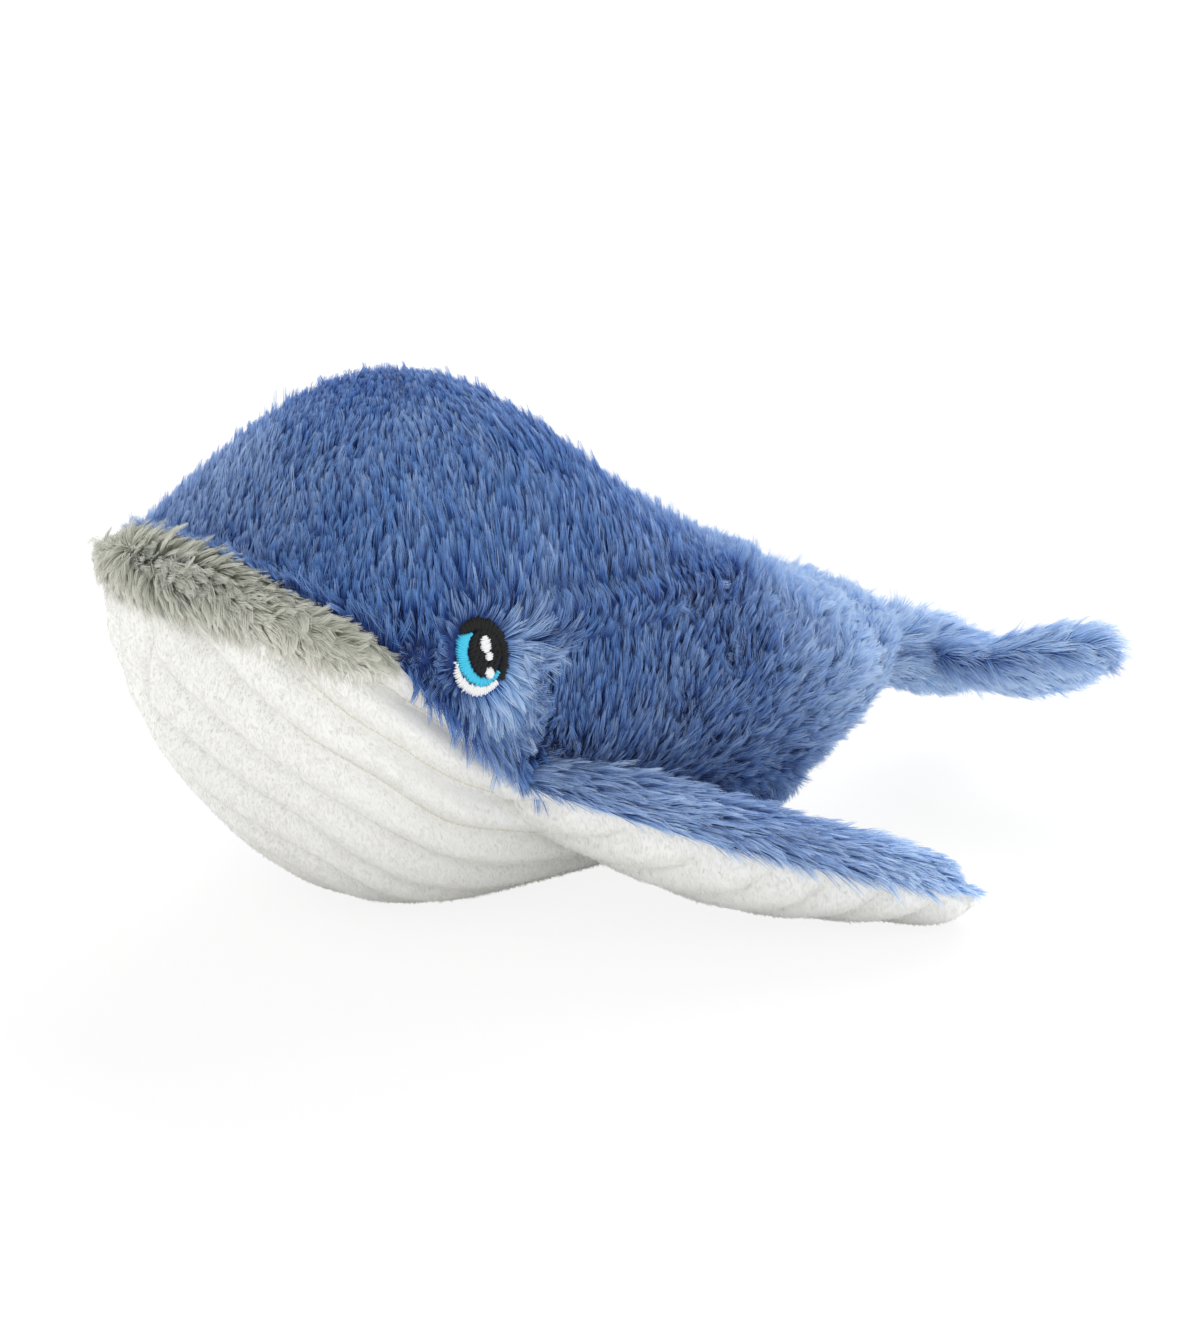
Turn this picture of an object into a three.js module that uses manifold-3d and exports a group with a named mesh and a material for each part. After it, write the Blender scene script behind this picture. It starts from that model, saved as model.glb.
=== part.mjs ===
// Plush whale, lying on its belly: a stuffed body in four sewn panels, two stuffed fins and a stuffed tail,
// each hinged where it is sewn on, and two embroidered eyes.
// Millimetres. +Y runs from nose to tail, +X is the whale's left side, +Z is up, and it rests on z = 0.
import * as THREE from "three";
import { mergeVertices } from "three/addons/utils/BufferGeometryUtils.js";
import Module from "manifold-3d";

const wasm = await Module();
wasm.setup();

// Driving sizes of the whole toy
const wholeLength = 250; // front of the lip to the rear edge of the fluke
const bodyLength = 196; // nose to rump, without the lip's own pile
const bodyWidth = 109;
const bodyHeight = 117;
const panelThickness = 5.5; // backing fabric and its pile, pressed to one skin
const seamGap = 0.4; // between neighbouring pieces
const stuffingGap = 0.7; // between the stuffing and the skin round it
const swingClearance = 1.2; // between a limb and the body at every angle of its seam
const restFlatDepth = 0.5; // how deep the belly is pressed flat where it lies

// The lip band, the throat panel and the seams between them, seen from the side
const lipProud = 5; // how far the lip's longer pile stands past the rest of the body
const cutOverrun = 40; // how far a cutting shape runs past what it cuts

// Fin
const finLength = 110; // from its buried root to the tip
const finWidth = 44;
const finThickness = 21;
const finPanelThickness = 4;
const finRootAcross = 37; // the buried root's place: across from the centre, from the nose, above the rest
const finRootAlong = 55;
const finRootHeight = 36.3;
const finSweepDeg = 56.5;
const finDroopDeg = 21;
const finRollDeg = -14;
const finTipRise = 10; // how far the tip bends up where it lies on the ground

// Where the fin is sewn on: both ends of the seam, from the centre, from the nose and above the rest
const finSeamFrontAcross = 51;
const finSeamFrontAlong = 52;
const finSeamFrontHeight = 40;
const finSeamRearAcross = 42.5;
const finSeamRearAlong = 98;
const finSeamRearHeight = 23.5;
const finDownDeg = -15;
const finUpDeg = 40;

// Tail: a round stem that carries two lobes
const stemLength = 46;
const stemWidth = 24;
const stemHeight = 24;
const stemBuried = 12; // how much of the stem starts inside the rump
const tailHeight = 33.5; // centre of the stem where it leaves the rump
const tailSeamRise = 3; // the fold at the tail's seam lies this much higher
const lobeLength = 50;
const lobeWidth = 27;
const lobeThickness = 18;
const lobeSweepDeg = 46; // between a lobe and straight back
const tailPanelThickness = 4;
const tailSag = 9.5; // the fluke lies this much lower than the stem's root
const tailTipRise = 3.5; // and each lobe's tip rises again
const tailDownDeg = -20;
const tailUpDeg = 30;
const tailYawDeg = 6; // the fluke lies a little turned and rolled to the left
const tailRollDeg = 10;

// Embroidered eye
const eyeWidth = 14;
const eyeHeight = 16.5;
const eyeAlongShare = 0.2163; // of bodyLength from the nose
const eyeAboveShare = 0.5726; // of bodyHeight
const eyeSocketDepth = 3; // the pile is clipped this deep round the embroidery
const eyeSocketMargin = 1;
const threadThickness = 1.4;

// Fineness of the faceted surfaces
const bodyRingSteps = 2; // rings between two rows of the body's table
const bodySides = 28;
const stuffingSides = 18;
const limbSides = 14;
const innerSides = 10; // of the hollows and the stuffing
const limbRingSteps = 2;
const curvePoints = 12;
const ovalPoints = 20;
const hingeSteps = 4;

const noseY = lipProud - wholeLength / 2;
const rumpY = noseY + bodyLength;
const radians = THREE.MathUtils.degToRad;

// The body's outline from nose to rump: along (of bodyLength), top and bottom (of bodyHeight),
// half width (of half of bodyWidth) and the height where it is widest (of bodyHeight)
const bodyShares = [
  [0, 0.667, 0.632, 0, 0.65],
  [0.008, 0.701, 0.55, 0.36, 0.645],
  [0.018, 0.709, 0.47, 0.56, 0.625],
  [0.036, 0.714, 0.36, 0.735, 0.6],
  [0.066, 0.735, 0.245, 0.879, 0.575],
  [0.112, 0.799, 0.135, 0.954, 0.538],
  [0.179, 0.906, 0.045, 0.991, 0.487],
  [0.255, 0.974, 0.006, 1, 0.453],
  [0.337, 1, 0, 0.991, 0.436],
  [0.408, 0.944, 0, 0.963, 0.419],
  [0.515, 0.803, 0, 0.908, 0.393],
  [0.648, 0.667, 0.017, 0.817, 0.368],
  [0.781, 0.551, 0.068, 0.679, 0.333],
  [0.883, 0.487, 0.167, 0.523, 0.325],
  [0.944, 0.444, 0.239, 0.367, 0.325],
  [0.982, 0.41, 0.278, 0.22, 0.325],
  [1, 0.333, 0.316, 0, 0.325],
];
const bodyRoundShare = 0.9; // 1 is an ellipse, less is squarer
const coreHeightShare = 0.42;

// Half outline of a limb from root to tip: along (of its length), half width and half thickness (of
// their halves)
const finShares = [
  [0, 0.72, 0.62],
  [0.12, 0.86, 0.86],
  [0.3, 0.98, 1],
  [0.5, 1, 0.98],
  [0.68, 0.9, 0.9],
  [0.83, 0.74, 0.84],
  [0.94, 0.5, 0.66],
  [1, 0, 0],
];
const stemShares = [
  [0, 0.86, 0.84],
  [0.28, 0.92, 0.94],
  [0.5, 0.9, 0.94],
  [0.75, 0.95, 0.8],
  [0.92, 0.7, 0.55],
  [1, 0, 0],
];
const lobeShares = [
  [0, 0.5, 0.5],
  [0.15, 0.82, 0.7],
  [0.4, 1, 0.84],
  [0.62, 0.94, 0.97],
  [0.82, 0.72, 0.94],
  [0.94, 0.44, 0.64],
  [1, 0, 0],
];

// The seams seen from the side, as shares of bodyLength from the nose and of bodyHeight
const lipTopShares = [
  [-0.1, 0.93],
  [0.015, 0.829],
  [0.028, 0.748],
  [0.042, 0.709],
  [0.065, 0.673],
  [0.098, 0.624],
  [0.115, 0.591],
];
const lipBottomShares = [
  [-0.1, 0.63],
  [0, 0.632],
  [0.02, 0.616],
  [0.038, 0.598],
  [0.062, 0.582],
  [0.098, 0.577],
  [0.115, 0.591],
];
const bellySeamShares = [
  [0.115, 0.591],
  [0.149, 0.529],
  [0.184, 0.468],
  [0.235, 0.389],
  [0.291, 0.307],
  [0.383, 0.214],
  [0.52, 0.141],
  [0.648, 0.107],
  [0.74, 0.094],
  [0.842, 0.085],
];

// The ovals of the eye: centre along and up, width and height, as shares of the eye
const eyeShares = {
  whole: [0, 0, 1, 1],
  dark: [0.075, 0.06, 0.85, 0.9],
  pupil: [0.15, 0.07, 0.68, 0.84],
  upperGlint: [0.1, 0.17, 0.2, 0.19],
  lowerGlint: [0.11, -0.03, 0.12, 0.11],
};

const blueFur = new THREE.Color(0.09, 0.19, 0.46);
const lipFur = new THREE.Color(0.36, 0.38, 0.33);
const whiteCord = new THREE.Color(0.84, 0.84, 0.81);
const stuffingWhite = new THREE.Color(0.9, 0.9, 0.9);
const blackThread = new THREE.Color(0.012, 0.012, 0.016);
const irisThread = new THREE.Color(0.03, 0.5, 0.72);
const whiteThread = new THREE.Color(0.9, 0.91, 0.92);

// A value read between the rows of a table, on a smooth curve through them
function rowValue(rows, column, place) {
  const last = rows.length - 1;
  const low = Math.min(Math.floor(place), last - 1);
  const part = place - low;
  const at = (i) => rows[Math.max(0, Math.min(last, i))][column];
  const slopeLow = (at(low + 1) - at(low - 1)) / 2;
  const slopeHigh = (at(low + 2) - at(low)) / 2;
  const square = part * part;
  const cube = square * part;
  return (
    (2 * cube - 3 * square + 1) * at(low) +
    (cube - 2 * square + part) * slopeLow +
    (3 * square - 2 * cube) * at(low + 1) +
    (cube - square) * slopeHigh
  );
}

// A closed surface over rings of points with a point at each end, its diagonals the same on both sides
function skinOver(rings, startPoint, endPoint) {
  const sides = rings[0].length;
  const points = [startPoint, ...rings.flat(), endPoint];
  const corner = (ring, side) => 1 + ring * sides + (side % sides);
  const index = [];
  for (let side = 0; side < sides; side++) {
    index.push(0, corner(0, side + 1), corner(0, side));
    index.push(points.length - 1, corner(rings.length - 1, side), corner(rings.length - 1, side + 1));
    for (let ring = 0; ring < rings.length - 1; ring++) {
      const [a, b] = [corner(ring, side), corner(ring, side + 1)];
      const [c, d] = [corner(ring + 1, side), corner(ring + 1, side + 1)];
      const mirrored = Math.cos((2 * Math.PI * (side + 0.5)) / sides) < 0;
      index.push(...(mirrored ? [a, b, c, b, d, c] : [a, b, d, a, d, c]));
    }
  }
  return new THREE.BufferGeometry().setFromPoints(points).setIndex(index);
}

function roundPower(value, power) {
  return Math.sign(value) * Math.abs(value) ** power;
}

// The body's outer surface
function bodyForm(sides, ringSteps) {
  const rings = [];
  const count = (bodyShares.length - 1) * ringSteps;
  for (let i = 1; i < count; i++) {
    const [along, top, bottom, half, widest] = [0, 1, 2, 3, 4].map((column) =>
      rowValue(bodyShares, column, i / ringSteps),
    );
    const middle = widest * bodyHeight;
    const ring = [];
    for (let side = 0; side < sides; side++) {
      const turn = (2 * Math.PI * side) / sides;
      const across = roundPower(Math.cos(turn), bodyRoundShare);
      const up = roundPower(Math.sin(turn), bodyRoundShare);
      const reach = up > 0 ? top * bodyHeight - middle : middle - bottom * bodyHeight;
      ring.push(
        new THREE.Vector3(
          (across * half * bodyWidth) / 2,
          noseY + along * bodyLength,
          middle + up * reach - restFlatDepth,
        ),
      );
    }
    rings.push(ring);
  }
  const ends = [bodyShares[0], bodyShares[bodyShares.length - 1]].map(
    ([along, , , , widest]) => new THREE.Vector3(0, noseY + along * bodyLength, widest * bodyHeight),
  );
  return skinOver(rings.map((ring) => ring.reverse()), ends[0], ends[1]);
}

// A limb that lies along +X, flat on the XY plane, from the rows of its table, shrunk all round by an inset
function limbForm(rows, length, width, thickness, inset) {
  const rings = [];
  const ringSteps = inset > 0 ? 1 : limbRingSteps;
  const sides = inset > 0 ? innerSides : limbSides;
  const count = (rows.length - 1) * ringSteps;
  for (let i = 0; i < count; i++) {
    const [along, half, thick] = [0, 1, 2].map((column) => rowValue(rows, column, i / ringSteps));
    const ring = [];
    for (let side = 0; side < sides; side++) {
      const turn = (2 * Math.PI * side) / sides;
      ring.push(
        new THREE.Vector3(
          along * (length - inset),
          Math.cos(turn) * half * (width / 2 - inset),
          Math.sin(turn) * thick * (thickness / 2 - inset),
        ),
      );
    }
    rings.push(ring);
  }
  return skinOver(rings, new THREE.Vector3(), new THREE.Vector3(length - inset, 0, 0));
}

// The same surface with each point moved along its normal
function swollen(geometry, distance) {
  const moved = geometry.clone();
  moved.computeVertexNormals();
  const { position, normal } = moved.attributes;
  const point = new THREE.Vector3();
  const direction = new THREE.Vector3();
  for (let i = 0; i < position.count; i++) {
    direction.fromBufferAttribute(normal, i);
    point.fromBufferAttribute(position, i).addScaledVector(direction, distance);
    position.setXYZ(i, ...point);
  }
  return moved;
}

// The body's surface drawn in towards its core, so that it fits inside itself
function shrunk(geometry, inset) {
  const core = new THREE.Vector3(0, noseY + bodyLength / 2, coreHeightShare * bodyHeight);
  return geometry
    .clone()
    .translate(...core.clone().negate())
    .scale(1 - (2 * inset) / bodyWidth, 1 - (2 * inset) / bodyLength, 1 - (2 * inset) / bodyHeight)
    .translate(...core);
}

function solid(geometry) {
  const bare = new THREE.BufferGeometry().setAttribute("position", geometry.getAttribute("position").clone());
  const merged = mergeVertices(geometry.index ? bare.setIndex(geometry.index.clone()) : bare);
  return new wasm.Manifold(
    new wasm.Mesh({
      numProp: 3,
      vertProperties: merged.attributes.position.array,
      triVerts: new Uint32Array(merged.index.array),
    }),
  );
}

function geometryOf(body) {
  const mesh = body.getMesh();
  const stride = mesh.numProp;
  const points = new Float32Array(mesh.numVert * 3);
  for (let i = 0; i < mesh.numVert; i++) {
    const start = i * stride;
    points.set(mesh.vertProperties.subarray(start, start + 3), i * 3);
  }
  return new THREE.BufferGeometry()
    .setAttribute("position", new THREE.BufferAttribute(points, 3))
    .setIndex([...mesh.triVerts]);
}

// A box between two corners
function block(low, high) {
  const size = high.clone().sub(low);
  const middle = high.clone().add(low).multiplyScalar(0.5);
  return solid(new THREE.BoxGeometry(size.x, size.y, size.z).translate(middle.x, middle.y, middle.z));
}

// A curve through points given as shares of the body, seen from the side, raised by a height
function sideCurve(shares, raise) {
  const points = shares.map(
    ([along, up]) => new THREE.Vector2(noseY + along * bodyLength, up * bodyHeight - restFlatDepth + raise),
  );
  return new THREE.SplineCurve(points).getPoints(curvePoints);
}

// A prism right across the body, over an outline drawn in Y and Z
function acrossBody(outline) {
  const depth = bodyWidth + 2 * cutOverrun;
  const prism = new THREE.ExtrudeGeometry(new THREE.Shape(outline), { depth, bevelEnabled: false });
  prism.translate(0, 0, -depth / 2);
  const yzToFront = new THREE.Matrix4().makeBasis(
    new THREE.Vector3(0, 1, 0),
    new THREE.Vector3(0, 0, 1),
    new THREE.Vector3(1, 0, 0),
  );
  return solid(prism.applyMatrix4(yzToFront));
}

// All that lies under the lip and the belly seam, up to a height past them
function underSeam(raise) {
  const edge = [...sideCurve(lipBottomShares, raise), ...sideCurve(bellySeamShares, raise).slice(1)];
  const below = -cutOverrun;
  return acrossBody([
    new THREE.Vector2(edge[0].x, below),
    new THREE.Vector2(edge[edge.length - 1].x, below),
    ...edge.reverse(),
  ]);
}

function lipPrism(grow) {
  const top = sideCurve(lipTopShares, grow).slice(0, -1);
  const bottom = sideCurve(lipBottomShares, -grow);
  const mouthCorner = bottom.pop();
  const behind = new THREE.Vector2(mouthCorner.x + 2 * grow, mouthCorner.y + grow);
  return acrossBody([...bottom, behind, ...top.reverse()]);
}

// Body: the outer surface, the stuffing's hollow and the panels between them
const bodyOuter = bodyForm(bodySides, bodyRingSteps);
const bodyCoarse = bodyForm(stuffingSides, 1);
const bodySolid = solid(bodyOuter);
const hollow = solid(shrunk(bodyCoarse, panelThickness));
const skin = bodySolid.subtract(hollow);
const lipSkin = solid(swollen(bodyOuter, lipProud)).subtract(hollow);
const farCorner = new THREE.Vector3(wholeLength, wholeLength, wholeLength);
const aboveRest = block(new THREE.Vector3(-wholeLength, -wholeLength, 0), farCorner);
const leftHalf = block(new THREE.Vector3(seamGap / 2, -wholeLength, -wholeLength), farCorner);

const lipBand = lipSkin.intersect(lipPrism(0));
const throat = skin.intersect(underSeam(-seamGap)).intersect(aboveRest);
const backSkin = skin.subtract(lipPrism(seamGap)).subtract(underSeam(0));
const bodyStuffing = solid(shrunk(bodyCoarse, panelThickness + stuffingGap));

// Eye: ovals in the plane that touches the cheek, each cut as a thin layer at the bottom of the socket
const eyePlace = new THREE.Vector3(0, noseY + eyeAlongShare * bodyLength, eyeAboveShare * bodyHeight);
const eyeTurn = new THREE.Matrix4().makeBasis(
  new THREE.Vector3(0, 1, 0),
  new THREE.Vector3(0, 0, 1),
  new THREE.Vector3(1, 0, 0),
);

// An oval bar out through the left cheek
function eyeOval([alongShare, upShare, widthShare, heightShare], grow) {
  const outline = new THREE.EllipseCurve(
    alongShare * eyeWidth,
    upShare * eyeHeight,
    (widthShare * eyeWidth) / 2 + grow,
    (heightShare * eyeHeight) / 2 + grow,
  ).getPoints(ovalPoints);
  const bar = new THREE.ExtrudeGeometry(new THREE.Shape(outline.slice(0, -1)), {
    depth: bodyWidth,
    bevelEnabled: false,
  });
  return solid(bar.applyMatrix4(eyeTurn).translate(eyePlace.x, eyePlace.y, eyePlace.z));
}

const socketFloor = solid(swollen(bodyOuter, -eyeSocketDepth));
const threadTop = solid(swollen(bodyOuter, seamGap + threadThickness - eyeSocketDepth));
const threadBase = solid(swollen(bodyOuter, seamGap - eyeSocketDepth));
const threadLayer = threadTop.subtract(threadBase);
const eyeSocket = eyeOval(eyeShares.whole, eyeSocketMargin).subtract(socketFloor);
const backLeft = backSkin.intersect(leftHalf).subtract(eyeSocket);

const { whole, dark, pupil, upperGlint, lowerGlint } = eyeShares;
const wholeOval = eyeOval(whole, 0);
const eyePieces = {
  white_satin: [wholeOval.subtract(eyeOval(dark, seamGap)), whiteThread],
  iris_satin: [eyeOval(dark, 0).intersect(wholeOval).subtract(eyeOval(pupil, seamGap)), irisThread],
  pupil_satin: [
    eyeOval(pupil, 0)
      .intersect(wholeOval)
      .subtract(eyeOval(upperGlint, seamGap))
      .subtract(eyeOval(lowerGlint, seamGap)),
    blackThread,
  ],
  upper_glint: [eyeOval(upperGlint, 0), whiteThread],
  lower_glint: [eyeOval(lowerGlint, 0), whiteThread],
};

// Cuts a limb, held in its own frame, clear of the body at every angle of its hinge
function clearOfBody(limb, frame, hinge, lowDeg, highDeg) {
  const obstacle = solid(swollen(bodyCoarse, swingClearance));
  let cut = limb;
  for (let i = 0; i <= hingeSteps; i++) {
    const angle = radians(lowDeg + ((highDeg - lowDeg) * i) / hingeSteps);
    const turned = new THREE.Matrix4()
      .makeTranslation(hinge.point)
      .multiply(new THREE.Matrix4().makeRotationAxis(hinge.axis, angle))
      .multiply(new THREE.Matrix4().makeTranslation(hinge.point.clone().negate()))
      .multiply(frame);
    cut = cut.subtract(solid(geometryOf(obstacle).applyMatrix4(turned.invert())));
  }
  return cut;
}

// The halves of a stuffed limb over and under its edge seam, and its stuffing
function limbPieces(outer, inner, stuffing, reach) {
  const above = block(
    new THREE.Vector3(-reach, -reach, seamGap / 2),
    new THREE.Vector3(reach, reach, reach).multiplyScalar(2),
  );
  const below = block(
    new THREE.Vector3(-reach, -reach, -reach),
    new THREE.Vector3(2 * reach, 2 * reach, -seamGap / 2),
  );
  const shell = outer.subtract(inner);
  return { top: shell.intersect(above), bottom: shell.intersect(below), stuffing };
}

// Left fin
function finSize(inset) {
  return solid(limbForm(finShares, finLength, finWidth, finThickness, inset));
}

function finBent(body) {
  const geometry = geometryOf(body);
  const { position } = geometry.attributes;
  for (let i = 0; i < position.count; i++) {
    const out = position.getX(i) / finLength;
    position.setZ(i, position.getZ(i) + finTipRise * out * out);
  }
  return solid(geometry);
}

const finFrame = new THREE.Object3D();
finFrame.position.set(finRootAcross, noseY + finRootAlong, finRootHeight);
finFrame.rotation.set(radians(finRollDeg), radians(finDroopDeg), radians(finSweepDeg), "ZYX");
finFrame.updateMatrix();

const finSeamFront = new THREE.Vector3(finSeamFrontAcross, noseY + finSeamFrontAlong, finSeamFrontHeight);
const finSeamRear = new THREE.Vector3(finSeamRearAcross, noseY + finSeamRearAlong, finSeamRearHeight);
const finHinge = {
  point: finSeamFront.clone().add(finSeamRear).multiplyScalar(0.5),
  axis: finSeamFront.clone().sub(finSeamRear).normalize(),
};
const finParts = limbPieces(
  finSize(0),
  finSize(finPanelThickness),
  finSize(finPanelThickness + stuffingGap),
  finLength,
);

// Tail: the stem and the two lobes are one sewn envelope, as long as the whole toy's length asks
const tailFrame = new THREE.Object3D();
tailFrame.position.set(0, rumpY - stemBuried, tailHeight);
tailFrame.rotation.set(radians(-tailRollDeg), 0, radians(90 - tailYawDeg), "ZYX");
tailFrame.updateMatrix();

function lobeForm(side, inset) {
  const lobe = limbForm(lobeShares, lobeLength, lobeWidth, lobeThickness, inset);
  return lobe.rotateZ(side * radians(lobeSweepDeg));
}

const lobeRear = [-1, 1].map((side) => {
  const placed = lobeForm(side, 0).applyMatrix4(tailFrame.matrix);
  placed.computeBoundingBox();
  return placed.boundingBox.max.y;
});
const lobeStart = (wholeLength / 2 - Math.max(...lobeRear)) / Math.cos(radians(tailYawDeg));

function tailSize(inset) {
  const stem = solid(limbForm(stemShares, stemLength, stemWidth, stemHeight, inset));
  const lobes = [-1, 1].map((side) => solid(lobeForm(side, inset).translate(lobeStart, 0, 0)));
  return stem.add(lobes[0]).add(lobes[1]);
}

// The fluke sags below the stem's root, and the tips of its lobes rise
function tailBent(body) {
  const geometry = geometryOf(body);
  const { position } = geometry.attributes;
  for (let i = 0; i < position.count; i++) {
    const back = Math.max(0, position.getX(i) - stemBuried) / lobeLength;
    const aside = position.getY(i) / lobeLength;
    const drop = tailSag * Math.sin((Math.min(back, 1) * Math.PI) / 2);
    position.setZ(i, position.getZ(i) - drop + 2 * tailTipRise * aside * aside);
  }
  return solid(geometry);
}

const tailHinge = {
  point: new THREE.Vector3(0, rumpY - panelThickness / 2, tailHeight + tailSeamRise),
  axis: new THREE.Vector3(1, 0, 0),
};
const tailParts = limbPieces(
  tailSize(0),
  tailSize(tailPanelThickness),
  tailSize(tailPanelThickness + stuffingGap),
  lobeLength * 2,
);

// The scene graph
function piece(name, body, color, roughness) {
  const material = new THREE.MeshStandardMaterial({ color, roughness, metalness: 0 });
  const mesh = new THREE.Mesh(geometryOf(body), material);
  mesh.name = name;
  return mesh;
}

const furRoughness = 0.9;
const threadRoughness = 0.45;

// The eye and the fin of one side, as they are on the left
function sideGroup(side) {
  const group = new THREE.Group();
  for (const [name, [bar, color]] of Object.entries(eyePieces))
    group.add(piece(`eye_${side}_${name}`, bar.intersect(threadLayer), color, threadRoughness));
  const fin = new THREE.Group();
  fin.position.copy(finFrame.position);
  fin.rotation.copy(finFrame.rotation);
  const cut = (part) => clearOfBody(finBent(part), finFrame.matrix, finHinge, finDownDeg, finUpDeg);
  fin.add(piece(`fin_${side}_top_panel`, cut(finParts.top), blueFur, furRoughness));
  fin.add(piece(`fin_${side}_bottom_panel`, cut(finParts.bottom), whiteCord, furRoughness));
  fin.add(piece(`fin_${side}_stuffing`, cut(finParts.stuffing), stuffingWhite, furRoughness));
  group.add(fin);
  group.add(piece(`back_panel_${side}`, backLeft, blueFur, furRoughness));
  return group;
}

const whale = new THREE.Group();
whale.add(piece("body_stuffing", bodyStuffing, stuffingWhite, furRoughness));
whale.add(piece("upper_lip_band", lipBand, lipFur, furRoughness));
whale.add(piece("throat_panel", throat, whiteCord, furRoughness));

const tail = new THREE.Group();
tail.position.copy(tailFrame.position);
tail.rotation.copy(tailFrame.rotation);
const tailCut = (part) =>
  clearOfBody(tailBent(part), tailFrame.matrix, tailHinge, tailDownDeg, tailUpDeg);
tail.add(piece("tail_top_panel", tailCut(tailParts.top), blueFur, furRoughness));
tail.add(piece("tail_bottom_panel", tailCut(tailParts.bottom), blueFur, furRoughness));
tail.add(piece("tail_stuffing", tailCut(tailParts.stuffing), stuffingWhite, furRoughness));
whale.add(tail);

const rightSide = sideGroup("right");
rightSide.scale.x = -1;
whale.add(sideGroup("left"), rightSide);

export default whale;
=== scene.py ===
"""Plush whale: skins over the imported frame, long blue pile, a ribbed throat and embroidered eyes.

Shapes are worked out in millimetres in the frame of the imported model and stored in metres.
+Y runs from nose to tail, +X is the whale's left side, +Z is up.
"""

import math

import bmesh
import bpy
import numpy as np
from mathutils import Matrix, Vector
from mathutils.bvhtree import BVHTree
from mathutils.kdtree import KDTree

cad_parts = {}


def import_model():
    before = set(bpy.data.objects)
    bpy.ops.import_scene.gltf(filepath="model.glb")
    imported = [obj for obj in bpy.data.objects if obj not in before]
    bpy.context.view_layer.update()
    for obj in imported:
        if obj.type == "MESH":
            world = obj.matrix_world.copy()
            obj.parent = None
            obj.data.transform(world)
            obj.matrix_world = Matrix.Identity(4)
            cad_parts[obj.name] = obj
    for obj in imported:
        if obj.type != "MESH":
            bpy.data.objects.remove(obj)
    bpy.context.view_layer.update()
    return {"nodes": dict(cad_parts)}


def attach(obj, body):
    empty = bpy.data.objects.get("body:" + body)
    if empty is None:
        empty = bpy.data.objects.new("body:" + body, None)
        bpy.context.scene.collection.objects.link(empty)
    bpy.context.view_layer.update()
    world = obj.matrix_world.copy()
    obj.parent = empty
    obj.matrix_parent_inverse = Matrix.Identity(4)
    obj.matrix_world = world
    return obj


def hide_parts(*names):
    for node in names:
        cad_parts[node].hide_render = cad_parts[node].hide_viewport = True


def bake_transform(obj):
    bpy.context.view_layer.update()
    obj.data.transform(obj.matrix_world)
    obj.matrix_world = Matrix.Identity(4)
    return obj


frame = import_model()

# Sizes shared with the solids, in millimetres
NOSE_Y = -120
BODY_LENGTH = 196
BODY_HEIGHT = 117
LIP_PROUD = 5
FIN_SIZE = (110, 44, 21)
FIN_PLACE = (37, -65, 36.3)
FIN_TURN = (-14, 21, 56.5)
FIN_TIP_RISE = 10
STEM_SIZE = (46, 24, 24)
STEM_BURIED = 12
TAIL_PLACE = (0, 64, 33.5)
TAIL_TURN = (-10, 0, 84)
TAIL_REACH = 125
LOBE_SIZE = (50, 27, 18)
LOBE_SWEEP = 46
TAIL_SAG = 9.5
TAIL_TIP_RISE = 3.5
EYE_SIZE = (14, 16.5)

# The left eye's centre, along and up. In the solids it lies about 1 mm higher and further forward.
EYE_PLACE = (-76.9, 65.9)

# Rows of a limb: share of its length, then its width and thickness there as shares of its size
FIN_ROWS = (
    (0, 0.72, 0.62), (0.12, 0.86, 0.86), (0.3, 0.98, 1), (0.5, 1, 0.98),
    (0.68, 0.9, 0.9), (0.83, 0.74, 0.84), (0.94, 0.5, 0.66), (1, 0, 0),
)
STEM_ROWS = (
    (0, 0.86, 0.84), (0.28, 0.92, 0.94), (0.5, 0.9, 0.94),
    (0.75, 0.95, 0.8), (0.92, 0.7, 0.55), (1, 0, 0),
)
LOBE_ROWS = (
    (0, 0.5, 0.5), (0.15, 0.82, 0.7), (0.4, 1, 0.84), (0.62, 0.94, 0.97),
    (0.82, 0.72, 0.94), (0.94, 0.44, 0.64), (1, 0, 0),
)

# Seams seen from the side: along the body from the nose, and height, as shares of its length and height
LIP_TOP = (
    (-0.1, 0.93), (0.015, 0.829), (0.028, 0.748), (0.042, 0.709),
    (0.065, 0.673), (0.098, 0.624), (0.115, 0.591),
)
LIP_BOTTOM = (
    (-0.1, 0.63), (0, 0.632), (0.02, 0.616), (0.038, 0.598),
    (0.062, 0.582), (0.098, 0.577), (0.115, 0.591),
)
BELLY_SEAM = (
    (0.115, 0.591), (0.149, 0.529), (0.184, 0.468), (0.235, 0.389), (0.291, 0.307),
    (0.383, 0.214), (0.52, 0.141), (0.648, 0.107), (0.74, 0.094), (0.842, 0.085),
)
MOUTH_END = NOSE_Y + BELLY_SEAM[0][0] * BODY_LENGTH
BELLY_END = NOSE_Y + BELLY_SEAM[-1][0] * BODY_LENGTH

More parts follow.
